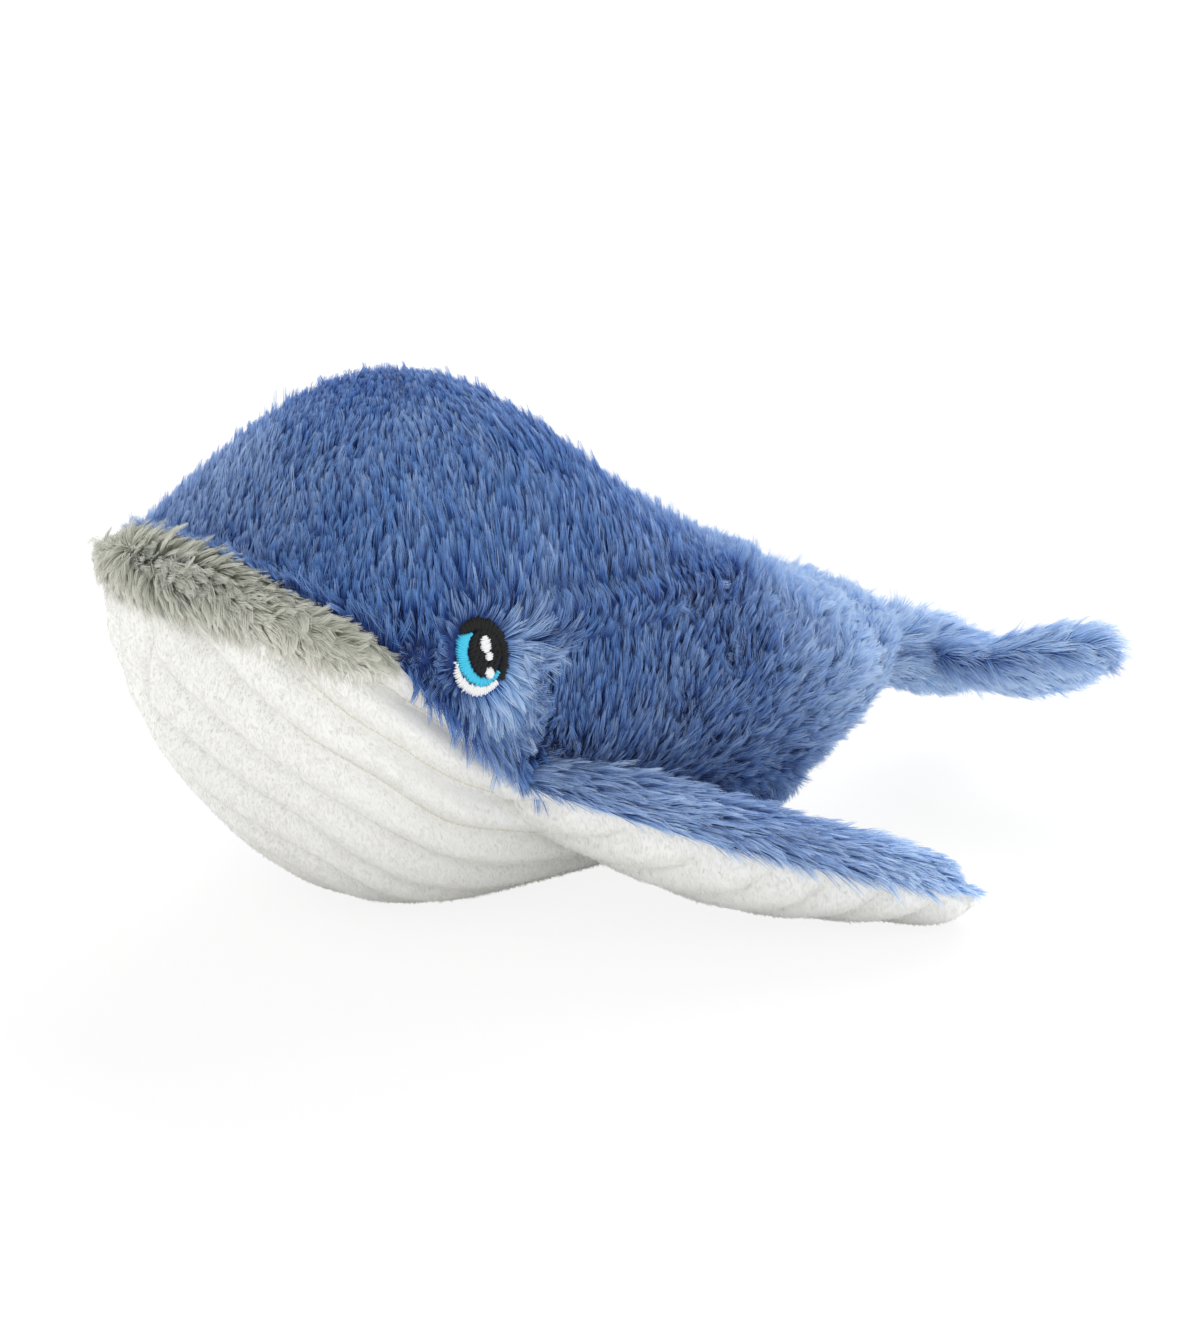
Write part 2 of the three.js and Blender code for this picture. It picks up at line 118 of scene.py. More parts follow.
# Stitched grooves of the throat, as points near its surface
THROAT_RIBS = (
    ((50.5, -102, 65), (53, -93, 58.5), (53.7, -84, 52), (53.5, -76, 46)),
    ((34, -116, 68), (36, -114.4, 65.8), (46, -107.7, 56.8), (51.1, -96.7, 49.4), (52, -82.6, 39.5),
     (51, -64.8, 31.7)),
    ((0, -120, 70), (8, -119, 67), (20, -117, 59), (33, -112.7, 51.3), (45.3, -102.6, 43.2), (48.1, -90, 34),
     (47.8, -79.8, 27.6), (47, -64, 23), (46, -50, 18), (45, -30, 13), (44, -10, 12)),
    ((-14, -118, 62), (-12, -116.7, 56.6), (-1.3, -115.6, 51), (16.5, -113, 44), (33.8, -106, 36),
     (40.7, -95, 27.8), (41.8, -79.7, 19), (40.5, -62, 12.5), (39, -45, 9), (37, -25, 7), (35, 0, 6)),
    ((-13, -119, 66), (-18, -117, 58), (-24, -114, 49), (-21, -112, 42), (-8, -112, 39), (7, -109.5, 33.5),
     (21, -106, 29), (27, -101, 24), (30, -93, 18), (31.5, -82, 11.5), (31, -65, 6), (29, -45, 2),
     (27, -20, 1)),
    ((-34, -107, 40), (-24, -107, 31), (-9, -104, 24), (4.5, -102.3, 21), (16, -99, 18), (20.5, -95, 14),
     (21.5, -84, 8), (20, -66, 3), (18, -40, 0), (17, -15, 0)),
    ((-32, -101, 26), (-20, -100, 19), (-6, -97, 14), (5, -92, 10), (9, -84, 6), (9.5, -70, 2), (9, -40, 0),
     (8, -10, 0)),
    ((-28, -93, 15), (-16, -91, 9.5), (-6, -85, 6), (-2, -75, 2), (-1, -40, 0), (-1, -10, 0)),
    ((-31, -117, 65), (-35, -113, 55), (-40, -108, 45), (-42, -100, 34), (-40, -90, 24), (-34, -80, 13),
     (-27, -66, 5), (-22, -45, 1), (-20, -15, 0)),
    ((-42, -111, 65), (-46, -106, 56), (-50, -97, 47), (-50, -84, 36), (-46, -68, 22), (-40, -50, 10),
     (-36, -25, 6)),
    ((-50.5, -102, 65), (-53, -93, 58.5), (-53.7, -84, 50), (-52, -72, 38), (-49, -60, 27)),
)


# Small tools
def unit(vectors):
    """The same directions with length one."""
    lengths = np.linalg.norm(vectors, axis=-1, keepdims=True)
    return vectors / np.maximum(lengths, 1e-9)


def surface_part(way, normals):
    """The part of a direction that lies in the surface, short where the direction leaves it."""
    return way - (way * normals).sum(-1, keepdims=True) * normals


def along_surface(way, normals):
    """The direction in the surface that is nearest to a given one."""
    return unit(surface_part(way, normals))


def swirled(comb, normals, swirl):
    """The combing direction, turned sideways by a share that differs from root to root."""
    return comb + np.cross(normals, comb) * swirl[:, None]


def kept(keep, *arrays):
    """The rows of each array that are kept."""
    return [rows[keep] for rows in arrays]


def ease(values, start, end):
    """0 before start, 1 after end and smooth between."""
    share = np.clip((values - start) / (end - start), 0, 1)
    return share * share * (3 - 2 * share)


def bell(values, width):
    """1 where the values are zero, and falling off smoothly over this width."""
    return np.exp(-((values / width) ** 2))


def drift(points, size, seed):
    """A smooth random value of about -1 to 1 that changes over this many millimetres."""
    random = np.random.default_rng(seed)
    waves = random.normal(size=(20, 3)) * 2.2 / size
    phases = random.uniform(0, 2 * math.pi, 20)
    return np.sin(points @ waves.T + phases).sum(-1) / math.sqrt(20)


def run_along(line):
    """How far along a line each of its points lies."""
    return np.concatenate([[0], np.cumsum(np.linalg.norm(np.diff(line, axis=0), axis=1))])


def at_run(line, run, places):
    """Points at these distances along a line."""
    return np.stack([np.interp(places, run, line[:, axis]) for axis in range(3)], -1)


def row_value(rows, column, places):
    """A column of a table read between its rows, on the smooth curve that the solids use."""
    table = np.array(rows, float)[:, column]
    last = len(table) - 1
    low = np.minimum(np.floor(places).astype(int), last - 1)
    part = places - low

    def at(i):
        return table[np.clip(i, 0, last)]

    slope_low = (at(low + 1) - at(low - 1)) / 2
    slope_high = (at(low + 2) - at(low)) / 2
    square = part * part
    cube = square * part
    return (
        (2 * cube - 3 * square + 1) * at(low)
        + (cube - 2 * square + part) * slope_low
        + (3 * square - 2 * cube) * at(low + 1)
        + (cube - square) * slope_high
    )


def turn_matrix(degrees):
    """Rotation about X, then Y, then Z."""
    x, y, z = np.radians(degrees)
    about_x = np.array([[1, 0, 0], [0, math.cos(x), -math.sin(x)], [0, math.sin(x), math.cos(x)]])
    about_y = np.array([[math.cos(y), 0, math.sin(y)], [0, 1, 0], [-math.sin(y), 0, math.cos(y)]])
    about_z = np.array([[math.cos(z), -math.sin(z), 0], [math.sin(z), math.cos(z), 0], [0, 0, 1]])
    return about_z @ about_y @ about_x


# Surfaces
def triangle_sides(triangles):
    """The two ends of each triangle's first side, then of each one's second and third."""
    pairs = np.concatenate([triangles[:, [0, 1]], triangles[:, [1, 2]], triangles[:, [2, 0]]])
    return np.sort(pairs, axis=1)


class Surface:
    """Triangles in millimetres with a smooth normal at each point."""

    def __init__(self, points, triangles):
        self.points = points
        self.triangles = triangles
        self.find_normals()

    def flat_normals(self):
        """Each triangle's normal, twice as long as its area."""
        corners = self.points[self.triangles]
        return np.cross(corners[:, 1] - corners[:, 0], corners[:, 2] - corners[:, 0])

    def find_normals(self):
        flat = self.flat_normals()
        normals = np.zeros_like(self.points)
        for corner in range(3):
            np.add.at(normals, self.triangles[:, corner], flat)
        self.normals = unit(normals)

    def smoothed(self, values, rounds):
        """Values at the points, each drawn halfway to the mean of its neighbours, a few times."""
        edges = np.unique(triangle_sides(self.triangles), axis=0)
        one, two = edges.T
        count = len(self.points)
        degree = np.bincount(edges.ravel(), minlength=count)
        for _ in range(rounds):
            total = [
                np.bincount(one, column[two], count) + np.bincount(two, column[one], count)
                for column in values.reshape(count, -1).T
            ]
            mean = (np.array(total) / degree).T.reshape(values.shape)
            values = (values + mean) / 2
        return values

    def cut(self, field):
        """The part where a value given at the points is over zero, cut cleanly where it is zero."""
        signs = field[self.triangles] > 0
        inside = signs.sum(1)
        crossed = (inside == 1) | (inside == 2)
        mixed, flags, single = self.triangles[crossed], signs[crossed], inside[crossed] == 1
        lone = np.where(single, flags.argmax(1), (~flags).argmax(1))
        row = np.arange(len(mixed))
        a, b, c = (mixed[row, (lone + turn) % 3] for turn in range(3))
        ends = np.sort(np.concatenate([np.stack([a, b], 1), np.stack([a, c], 1)]), axis=1)
        edges, which = np.unique(ends, axis=0, return_inverse=True)
        ab, ac = which.reshape(2, -1) + len(self.points)
        first, second = edges.T
        share = (field[first] / (field[first] - field[second]))[:, None]

        def between(values):
            return values[first] * (1 - share) + values[second] * share

        points = np.concatenate([self.points, between(self.points)])
        normals = np.concatenate([self.normals, unit(between(self.normals))])
        corners = [self.triangles[inside == 3], np.stack([a, ab, ac], 1)[single]]
        corners += [np.stack([ab, b, c], 1)[~single], np.stack([ab, c, ac], 1)[~single]]
        used, inverse = np.unique(np.concatenate(corners), return_inverse=True)
        piece = Surface(points[used], inverse.reshape(-1, 3))
        piece.normals = normals[used]
        return piece

    def scatter(self, per_square, random):
        """Points at random places, this many to the square millimetre, and the normals there."""
        area = np.linalg.norm(self.flat_normals(), axis=1) / 2
        index = np.repeat(np.arange(len(area)), random.poisson(area * per_square))
        one, two = random.random((2, len(index)))
        over = one + two > 1
        one[over], two[over] = 1 - one[over], 1 - two[over]
        weights = np.stack([1 - one - two, one, two], 1)[:, :, None]
        owners = self.triangles[index]
        return (self.points[owners] * weights).sum(1), unit((self.normals[owners] * weights).sum(1))


def finer(surface):
    """Each triangle split in four."""
    edges, which = np.unique(triangle_sides(surface.triangles), axis=0, return_inverse=True)
    first, second, third = which.reshape(3, -1) + len(surface.points)
    points = np.concatenate([surface.points, surface.points[edges].mean(1)])
    a, b, c = surface.triangles.T
    quarters = ((a, first, third), (first, b, second), (third, second, c), (first, second, third))
    return Surface(points, np.concatenate([np.stack(corners, 1) for corners in quarters]))


def new_object(name, data):
    """An object that shows this data in the scene."""
    thing = bpy.data.objects.new(name, data)
    bpy.context.scene.collection.objects.link(thing)
    return thing


def add_mesh(name, points, faces, material, places=None):
    """A smooth mesh from points in millimetres, in its material's slot. places are the points' own in
    the material's map.
    """
    mesh = bpy.data.meshes.new(name)
    mesh.vertices.add(len(points))
    mesh.vertices.foreach_set("co", (points * 0.001).astype(np.float32).ravel())
    mesh.loops.add(faces.size)
    mesh.loops.foreach_set("vertex_index", faces.astype(np.int32).ravel())
    mesh.polygons.add(len(faces))
    mesh.polygons.foreach_set("loop_start", np.arange(0, faces.size, faces.shape[1], dtype=np.int32))
    mesh.update(calc_edges=True)
    mesh.polygons.foreach_set("use_smooth", np.ones(len(faces), bool))
    if places is not None:
        layer = mesh.uv_layers.new(name="OFBake")
        layer.data.foreach_set("uv", places[faces.ravel()].astype(np.float32).ravel())
    mesh.materials.append(material)
    thing = new_object(name, mesh)
    return thing


def add_skin(name, surface, material, fill, *nodes):
    """A skin in place of some of the solids."""
    piece = add_mesh(f"skin_{name}", surface.points, surface.triangles, material)
    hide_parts(*nodes)
    return piece


# Strands
# Sections of a strand or thread: across and up, as shares of its width
FLAT = ((-0.5, 0), (0.5, 0))
ROUND = ((-0.5, -0.15), (-0.38, 0.25), (0, 0.42), (0.38, 0.25), (0.5, -0.15))
PIECE_TRIANGLES = 190000


def strand_mesh(name, paths, ups, widths, shade, material, section=FLAT):
    """Meshes of strands along paths, each with its width at every row and its own shade."""
    count, rows = paths.shape[:2]
    tangents = unit(np.gradient(paths, axis=1))
    sides = unit(np.cross(tangents, ups[:, None, :]))
    tops = np.cross(sides, tangents)
    offsets = np.array(section)
    wide = widths[:, :, None, None]
    points = (
        paths[:, :, None, :]
        + sides[:, :, None, :] * offsets[:, :1] * wide
        + tops[:, :, None, :] * offsets[:, 1:] * wide
    )
    across = len(offsets)
    grid = np.arange(rows * across).reshape(rows, across)
    quads = np.stack([grid[:-1, :-1], grid[:-1, 1:], grid[1:, 1:], grid[1:, :-1]], -1).reshape(-1, 4)
    heights = np.repeat(np.linspace(0.02, 0.98, rows), across)
    shade = np.clip(shade, 0.02, 0.98)
    step = PIECE_TRIANGLES // (2 * len(quads))
    pieces = []
    for number, start in enumerate(range(0, count, step)):
        some = points[start : start + step]
        faces = (quads[None] + (np.arange(len(some)) * rows * across)[:, None, None]).reshape(-1, 4)
        own = np.repeat(shade[start : start + step], rows * across)
        places = np.stack([own, np.tile(heights, len(some))], 1)
        pieces.append(add_mesh(f"{name}_{number + 1}", some.reshape(-1, 3), faces, material, places))
    return pieces


def nearest(points, seeds):
    """For each point, which seed lies nearest."""
    tree = KDTree(len(seeds))
    for i, seed in enumerate(seeds):
        tree.insert(seed, i)
    tree.balance()
    return np.array([tree.find(point)[1] for point in points])


def strand_paths(roots, normals, comb, length, stand, lay, rows, bend):
    """Paths that leave the skin at the root, as upright as stand says, and end as flat as lay says."""
    paths = np.empty((len(roots), rows, 3))
    paths[:, 0] = roots
    for row in range(1, rows):
        share = (row - 0.5) / (rows - 1)
        rise = (stand * (1 - share) + lay * share)[:, None]
        direction = comb + normals * rise + bend * share
        paths[:, row] = paths[:, row - 1] + unit(direction) * (length / (rows - 1))[:, None]
    return paths


def pile(name, roots, normals, comb, shade, material, seed, length, width, stand, lay=0.05, tufts=0.085,
         gather=0.65, stray=0.12, uneven=0.1, curl=0.15, mottle=0.12, rows=4, roll=0.9):
    """Pile gathered in tufts. The comb, the shade and most of the measures may vary from root to root.

    A share of the roots lead tufts, and gather says how far the others bend to them. stray, uneven,
    curl and mottle say how much direction, length, bend and shade differ, and roll how far strands turn.
    """
    random = np.random.default_rng(seed)
    count = len(roots)
    number = max(1, int(count * tufts))
    leaders = random.choice(count, number, replace=False)
    group = nearest(roots, roots[leaders])

    def vary(amount):
        """A random number for each tuft, and a smaller one for each strand."""
        return random.normal(size=number)[group] * amount + random.normal(size=count) * amount * 0.45

    aside = unit(np.cross(normals, comb))
    lean = comb + aside * vary(stray)[:, None] + np.cross(aside, normals) * vary(stray)[:, None]
    length = length * np.exp(vary(uneven))
    stand = np.clip(stand * (1 + vary(0.22)), 0.15, 3)
    lay = lay + vary(0.12)
    bend = aside * vary(curl)[:, None]
    paths = strand_paths(roots, normals, lean, length, stand, lay, rows, bend)
    lead = paths[leaders][group]
    shares = np.linspace(0, 1, rows)
    pull = np.multiply.outer(np.broadcast_to(gather, count), shares**1.2)[:, :, None]
    spread = (roots - roots[leaders][group])[:, None, :] * 0.45
    paths = paths + (lead + spread - paths) * pull
    thick = width * np.exp(random.normal(size=count) * 0.22)
    widths = thick[:, None] * (1 - 0.82 * shares**1.6)[None, :]
    ups = unit(normals + aside * (random.normal(size=count) * roll)[:, None])
    return strand_mesh(name, paths, ups, widths, shade + vary(mottle), material)


# The body's form
BODY_MIDDLE = np.array([0, -22, 50])
BODY_HALVES = (54, 100, 58)


def side_height(rows, along):
    """Height of a seam seen from the side, at a place along the body."""
    table = np.array(rows)
    return np.interp((along - NOSE_Y) / BODY_LENGTH, table[:, 0], table[:, 1]) * BODY_HEIGHT - 0.5


def packed_shell(names):
    """The solids' faces as a tree that finds places on them, and the name of each face's solid."""
    points, faces, owners = [], [], []
    for name in names:
        mesh = frame["nodes"][name].data
        start = len(points)
        points.extend(vertex.co * 1000 for vertex in mesh.vertices)
        faces.extend([start + i for i in polygon.vertices] for polygon in mesh.polygons)
        owners.extend([name] * len(mesh.polygons))
    return BVHTree.FromPolygons(points, faces), owners


def ball_directions(detail):
    """Directions all round the body, as a ball stretched like it, and the ball's triangles."""
    ball = bmesh.new()
    bmesh.ops.create_icosphere(ball, subdivisions=detail, radius=1)
    directions = unit(np.array([vertex.co for vertex in ball.verts]) * BODY_HALVES)
    triangles = np.array([[vertex.index for vertex in face.verts] for face in ball.faces])
    ball.free()
    return directions, triangles


def body_reach(tree, owners, direction, aside):
    """How far out the body lies in a direction, without the lip's own pile.

    Three rays side by side look, so that none of them alone falls into the gap of a seam.
    """
    reach = 0
    for shift in (-0.7, 0, 0.7):
        start = BODY_MIDDLE + direction * 200 + aside * shift
        place, normal, face, _ = tree.ray_cast(Vector(start), Vector(-direction))
        if place is None:
            continue
        out = float(np.dot(np.array(place) - BODY_MIDDLE, direction))
        if owners[face] == "upper_lip_band":
            out -= LIP_PROUD / max(0.75, float(np.dot(np.array(normal), direction)))
        reach = max(reach, out)
    return reach


def body_surface(detail):
    """The body without the lip's own pile, found by looking at the solids from all round."""
    tree, owners = packed_shell(("back_panel_left", "back_panel_right", "throat_panel", "upper_lip_band"))
    directions, triangles = ball_directions(detail)
    asides = unit(np.cross(directions, (0.3, 0.2, 0.9)))
    found = [
        BODY_MIDDLE + direction * body_reach(tree, owners, direction, aside)
        for direction, aside in zip(directions, asides)
    ]
    surface = Surface(np.array(found), triangles)
    surface.points = surface.smoothed(surface.points, 26)
    surface.find_normals()
    surface.points = surface.points + surface.normals * 0.4
    return surface


def seam_places(points):
    """How far each point of the body lies above the lip's top, the lip's bottom and the belly seam."""
    return [points[:, 2] - side_height(rows, points[:, 1]) for rows in (LIP_TOP, LIP_BOTTOM, BELLY_SEAM)]


def regions(points):
    """How far each point lies inside the back, the lip and the throat, below zero outside them."""
    over_lip, over_mouth, over_seam = seam_places(points)
    lip = np.minimum(over_mouth, -over_lip)
    under = np.where(points[:, 1] < MOUTH_END, -over_mouth, -over_seam)
    throat = np.minimum(under, BELLY_END - points[:, 1])
    return -np.maximum(lip, throat), lip, throat


def linear(red, green, blue):
    """A screen colour from 0 to 255 as Blender's linear colour."""
    shares = np.array([red, green, blue]) / 255
    values = np.where(shares <= 0.04045, shares / 12.92, ((shares + 0.055) / 1.055) ** 2.4)
    return (*values, 1)


def new_material(name, roughness, sheen, sheen_roughness=0.5, gloss=0.12):
    """A material for a slot, with its tree and its shader node."""
    material = bpy.data.materials.new(name)
    material.use_nodes = True
    tree = material.node_tree
    shader = tree.nodes["Principled BSDF"]
    feed(tree, shader, {"Roughness": roughness, "Specular IOR Level": gloss})
    feed(tree, shader, {"Sheen Weight": sheen, "Sheen Roughness": sheen_roughness})
    return material, tree, shader


def feed(tree, target, inputs):
    """Sets a node's inputs, given by name or number, to values or links them to outputs."""
    for key, source in inputs.items():
        if isinstance(source, bpy.types.NodeSocket):
            tree.links.new(source, target.inputs[key])
        else:
            target.inputs[key].default_value = source


def node(tree, kind, inputs=None):
    """A new node with some of its inputs fed."""
    fresh = tree.nodes.new(kind)
    feed(tree, fresh, inputs or {})
    return fresh


def ramp(tree, stops, source):
    """The colour that a ramp through stops of place and screen colour gives for an output's value."""
    fresh = node(tree, "ShaderNodeValToRGB", {"Fac": source})
    elements = fresh.color_ramp.elements
    while len(elements) < len(stops):
        elements.new(0.5)
    for element, (place, color) in zip(elements, stops):
        element.position = place
        element.color = linear(*color)
    return fresh.outputs["Color"]


def strand_place(tree):
    """A strand's own shade as X, and the share from its start to its end as Y."""
    place = node(tree, "ShaderNodeUVMap")
    place.uv_map = "OFBake"
    return node(tree, "ShaderNodeSeparateXYZ", {"Vector": place.outputs["UV"]}).outputs


def pile_material(name, low, high, sheen):
    """Fibre that goes from a dark root to a paler tip, the dark root being painted shade deep in the pile; a
    strand's shade picks between two such runs, a darker and a paler one.
    """
    material, tree, shader = new_material(name, 0.75, sheen, 0.35)
    place = strand_place(tree)
    mix = node(tree, "ShaderNodeMix", {"Factor": place["X"]})
    mix.data_type = "RGBA"
    for stops, color in zip((low, high), [item for item in mix.inputs if item.type == "RGBA"]):
        tree.links.new(ramp(tree, stops, place["Y"]), color)
    result = [item for item in mix.outputs if item.type == "RGBA"][0]
    feed(tree, shader, {"Base Color": result, "Sheen Tint": linear(222, 234, 255)})
    return material


def cloth_material(name, dark, light, grain, depth):
    """Backing cloth or short nap: a fine mottle in colour and in relief, both in millimetres."""
    material, tree, shader = new_material(name, 0.95, 0.2)
    place = node(tree, "ShaderNodeTexCoord").outputs["Object"]
    noise = node(tree, "ShaderNodeTexNoise", {"Scale": 1000 / grain, "Detail": 4, "Vector": place})
    value = noise.outputs["Fac"]
    color = ramp(tree, ((0.3, dark), (0.7, light)), value)
    bump = node(tree, "ShaderNodeBump", {"Distance": depth * 0.001, "Strength": 0.6, "Height": value})
    feed(tree, shader, {"Base Color": color, "Normal": bump.outputs["Normal"]})
    return material


def thread_material(name, dark, light, roughness=0.45, gloss=0.5):
    """Satin thread with a soft gloss, darker at its ends with painted shade, where it dives into the cloth.
    """
    material, tree, shader = new_material(name, roughness, 0.1, gloss=gloss)
    stops = ((0.02, dark), (0.2, light), (0.8, light), (0.98, dark))
    feed(tree, shader, {"Base Color": ramp(tree, stops, strand_place(tree)["Y"])})
    return material


# Each pile's runs darken towards the root: the dark roots are painted shade deep in the pile.
BLUE_PILE = pile_material(
    "blue_pile_fibre",
    ((0, (14, 32, 90)), (0.45, (40, 78, 154)), (1, (118, 164, 224))),
    ((0, (104, 146, 206)), (0.4, (160, 196, 240)), (1, (214, 232, 252))),
    0.5,
)
LIP_PILE = pile_material(
    "lip_pile_fibre",
    ((0, (132, 136, 117)), (0.4, (170, 173, 157)), (1, (210, 212, 199))),
    ((0, (196, 196, 182)), (0.4, (228, 227, 217)), (1, (244, 243, 236))),
    0.3,
)
# The white nap's darker run is cream where the nap meets the lip, and painted shade along the throat's
# grooves.
WHITE_PILE = pile_material(
    "white_nap_fibre",
    ((0, (212, 209, 198)), (1, (224, 222, 212))),
    ((0, (234, 234, 231)), (1, (240, 240, 237))),
    0.2,
)
BLUE_CLOTH = cloth_material("blue_backing_cloth", (36, 60, 122), (54, 84, 152), 1.2, 0.4)
LIP_CLOTH = cloth_material("lip_backing_cloth", (124, 128, 110), (160, 163, 146), 1.2, 0.4)
WHITE_CLOTH = cloth_material("white_nap_cloth", (236, 236, 233), (240, 240, 237), 0.7, 0.08)
RIB_THREAD = thread_material("rib_thread", (206, 201, 180), (224, 219, 202), 0.8)
WHITE_THREAD = thread_material("white_satin_thread", (176, 184, 196), (242, 242, 241))
TURQUOISE_THREAD = thread_material("turquoise_satin_thread", (14, 120, 160), (62, 200, 232))
BLACK_THREAD = thread_material("black_satin_thread", (5, 5, 7), (20, 20, 21), 0.6, 0.25)


# Body skins
BODY_FILL = 0.7
WHITE_INSET = 1.3
BLUE_DEPTH = 2.6
LIP_RISE = 2.6
FLOOR_GAP = 0.3
CHEEK_WAY = (0, 0.75, -0.66)


def eye_ratio(points):
    """Distance from the eye's centre, 1 at the edge of the embroidery, and the direction away from it."""
    away = np.stack([np.zeros(len(points)), points[:, 1] - EYE_PLACE[0], points[:, 2] - EYE_PLACE[1]], 1)
    ratio = np.hypot(away[:, 1] / EYE_SIZE[0], away[:, 2] / EYE_SIZE[1]) * 2
    return ratio, unit(away)


def skin_inset():
    """How deep the backing cloth lies: deepest under the long blue pile, and near the surface at the eyes."""
    ratio, _ = eye_ratio(base.points)
    open_field = ease(ratio, 0.95, 1.7)
    blue = WHITE_INSET + BLUE_DEPTH * ease(in_back, 0, 5) * open_field + 0.9 * ease(ratio, 1.08, 0.9)
    lip = WHITE_INSET - LIP_RISE * ease(in_lip, 0, 5)
    return base.smoothed(np.where(in_back > 0, blue, np.where(in_lip > 0, lip, WHITE_INSET)), 3)


def rib_curve(line, steps=6):
    """A smooth curve through a groove's points, laid onto the skin, with a point about every millimetre."""
    points = np.array(line, float)
    places = np.linspace(0, len(points) - 1, (len(points) - 1) * steps + 1)
    rough = np.stack([row_value(points, column, places) for column in range(3)], 1)
    laid = np.array([skin_tree.find_nearest(Vector(spot))[0] for spot in rough])
    for _ in range(3):
        laid[1:-1] = (laid[:-2] + 2 * laid[1:-1] + laid[2:]) / 4
    run = run_along(laid)
    return at_run(laid, run, np.linspace(0, run[-1], max(3, int(run[-1]))))


base = body_surface(7)
in_back, in_lip, in_throat = regions(base.points)
skin = Surface(base.points - base.normals * skin_inset()[:, None], base.triangles)
skin_tree = BVHTree.FromPolygons(skin.points.tolist(), skin.triangles.tolist())
RIB_CURVES = [rib_curve(line) for line in THROAT_RIBS]


def rib_depth(points):
    """How far each point is from the nearest groove's curve."""
    distance = np.full(len(points), 1e9)
    for curve in RIB_CURVES:
        near = np.linalg.norm(points[:, None] - curve[None, ::8], axis=2).min(1) < 14
        some = points[near]
        best = np.full(len(some), 1e9)
        for start, end in zip(curve[:-1], curve[1:]):
            way = end - start
            share = np.clip(((some - start) @ way) / (way @ way), 0, 1)
            best = np.minimum(best, np.linalg.norm(some - start - share[:, None] * way, axis=1))
        distance[near] = np.minimum(distance[near], best)
    return distance


def rib_relief(away, power, height):
    """Relief of sewn ribs by the distance from a groove: four fifths of the height go in, one fifth out."""
    return (1 - np.exp(-((away / 2.6) ** power)) - 0.8) * height


def throat_surface():
    """The throat's skin with its ribs, which fade at its seams and flatten on the ground."""
    throat = finer(skin.cut(in_throat))
    inside = regions(throat.points)[2]
    soft = (ease(throat.points[:, 2], 0.5, 8) * 0.75 + 0.25) * ease(inside, -1, 4)
    relief = rib_relief(rib_depth(throat.points), 1.2, 4.0) * soft
    throat.points = throat.points + throat.normals * relief[:, None]
    throat.points[:, 2] = np.maximum(throat.points[:, 2], FLOOR_GAP)
    throat.points = throat.smoothed(throat.points, 1)
    throat.find_normals()
    return throat


def back_skin(side):
    """The skin of one back panel."""
    return skin.cut(np.minimum(in_back, base.points[:, 0] * side))


def body_skins(throat):
    """The four sewn skins of the body, each on the body."""
    for name, part, material, nodes in (
        ("back_left", back_skin(1), BLUE_CLOTH, ("back_panel_left", "body_stuffing")),
        ("back_right", back_skin(-1), BLUE_CLOTH, ("back_panel_right",)),
        ("lip", skin.cut(in_lip), LIP_CLOTH, ("upper_lip_band",)),
        ("throat", throat, WHITE_CLOTH, ("throat_panel",)),
    ):
        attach(add_skin(name, part, material, BODY_FILL, *nodes), "body")


# Body pile
def back_comb(points, normals):
    """The way the blue pile lies: up, back over the rump, down over the belly seam and away from the eye."""
    _, y, z = points.T
    rear = ease(y, -20, 60)[:, None]
    low = (bell(seam_places(points)[2], 9) * ease(y, -100, -90))[:, None]
    ahead = ease(y, -48, -60)[:, None]
    way = np.array([0, -0.16, 1]) * (1 - rear) + np.array([0, 0.7, 0.5]) * rear
    way = way * (1 - low) + (np.array([0, 0.4, -0.9]) - np.array([0, 0.6, 0]) * ahead) * low
    soft = ease(y, -60, 20)
    swirl = drift(points, 24, 3) * (0.16 + 0.2 * soft) + drift(points, 8, 4) * (0.1 + 0.4 * soft)
    flank = ease(y, -45, -10) * ease(z, 88, 62)
    comb = swirled(surface_part(way, normals), normals, swirl) * (1 - 0.4 * flank)[:, None]
    ratio, away = eye_ratio(points)
    toward = np.clip(away @ np.array(CHEEK_WAY), 0, 1)
    reach = (0.35 + 1.05 * toward) * (1 + 0.3 * drift(points, 7, 33) * toward)
    part = bell(np.maximum(ratio - 1, 0), reach)[:, None]
    droop = (toward * np.clip(ratio - 0.7, 0, 1.5))[:, None]
    away = surface_part(away + np.array([0, 0.1, -0.8]) * droop, normals)
    return comb * (1 - part) + away * part


def cheek_share(points):
    """How much of the tuft below and behind the eye each place belongs to."""
    ratio, away = eye_ratio(points)
    toward = np.clip(away @ np.array(CHEEK_WAY), 0, 1)
    return bell(np.maximum(ratio - 1, 0), 0.4 + 1.0 * toward) * (0.12 + 0.88 * toward)


def back_length(roots, combed, edge, ahead):
    """Length of the blue pile: short on the ridge, at seams, round the eye and low on the rump."""
    x, y, z = roots.T
    low = 2.0 * ease(y, 20, 50) * ease(z, 48, 26) + 1.2 * bell(x, 22)
    at_edge = bell(edge, 4) * (1 - ahead * (1.4 + 0.8 * drift(roots, 5, 35)))
    around_eye = 0.45 + 0.55 * ease(eye_ratio(roots)[0], 0.98, 1.7)
    by_tail = 1 - 0.25 * bell(np.linalg.norm(roots - (0, 74, 38), axis=1), 16)
    lobes = 1 + (0.08 + 0.14 * ease(y, -20, 40)) * drift(roots, 11, 34)
    length = 3.2 + 4.4 * combed - low - 1.2 * at_edge + 1.5 * cheek_share(roots)
    return length * around_eye * by_tail * lobes


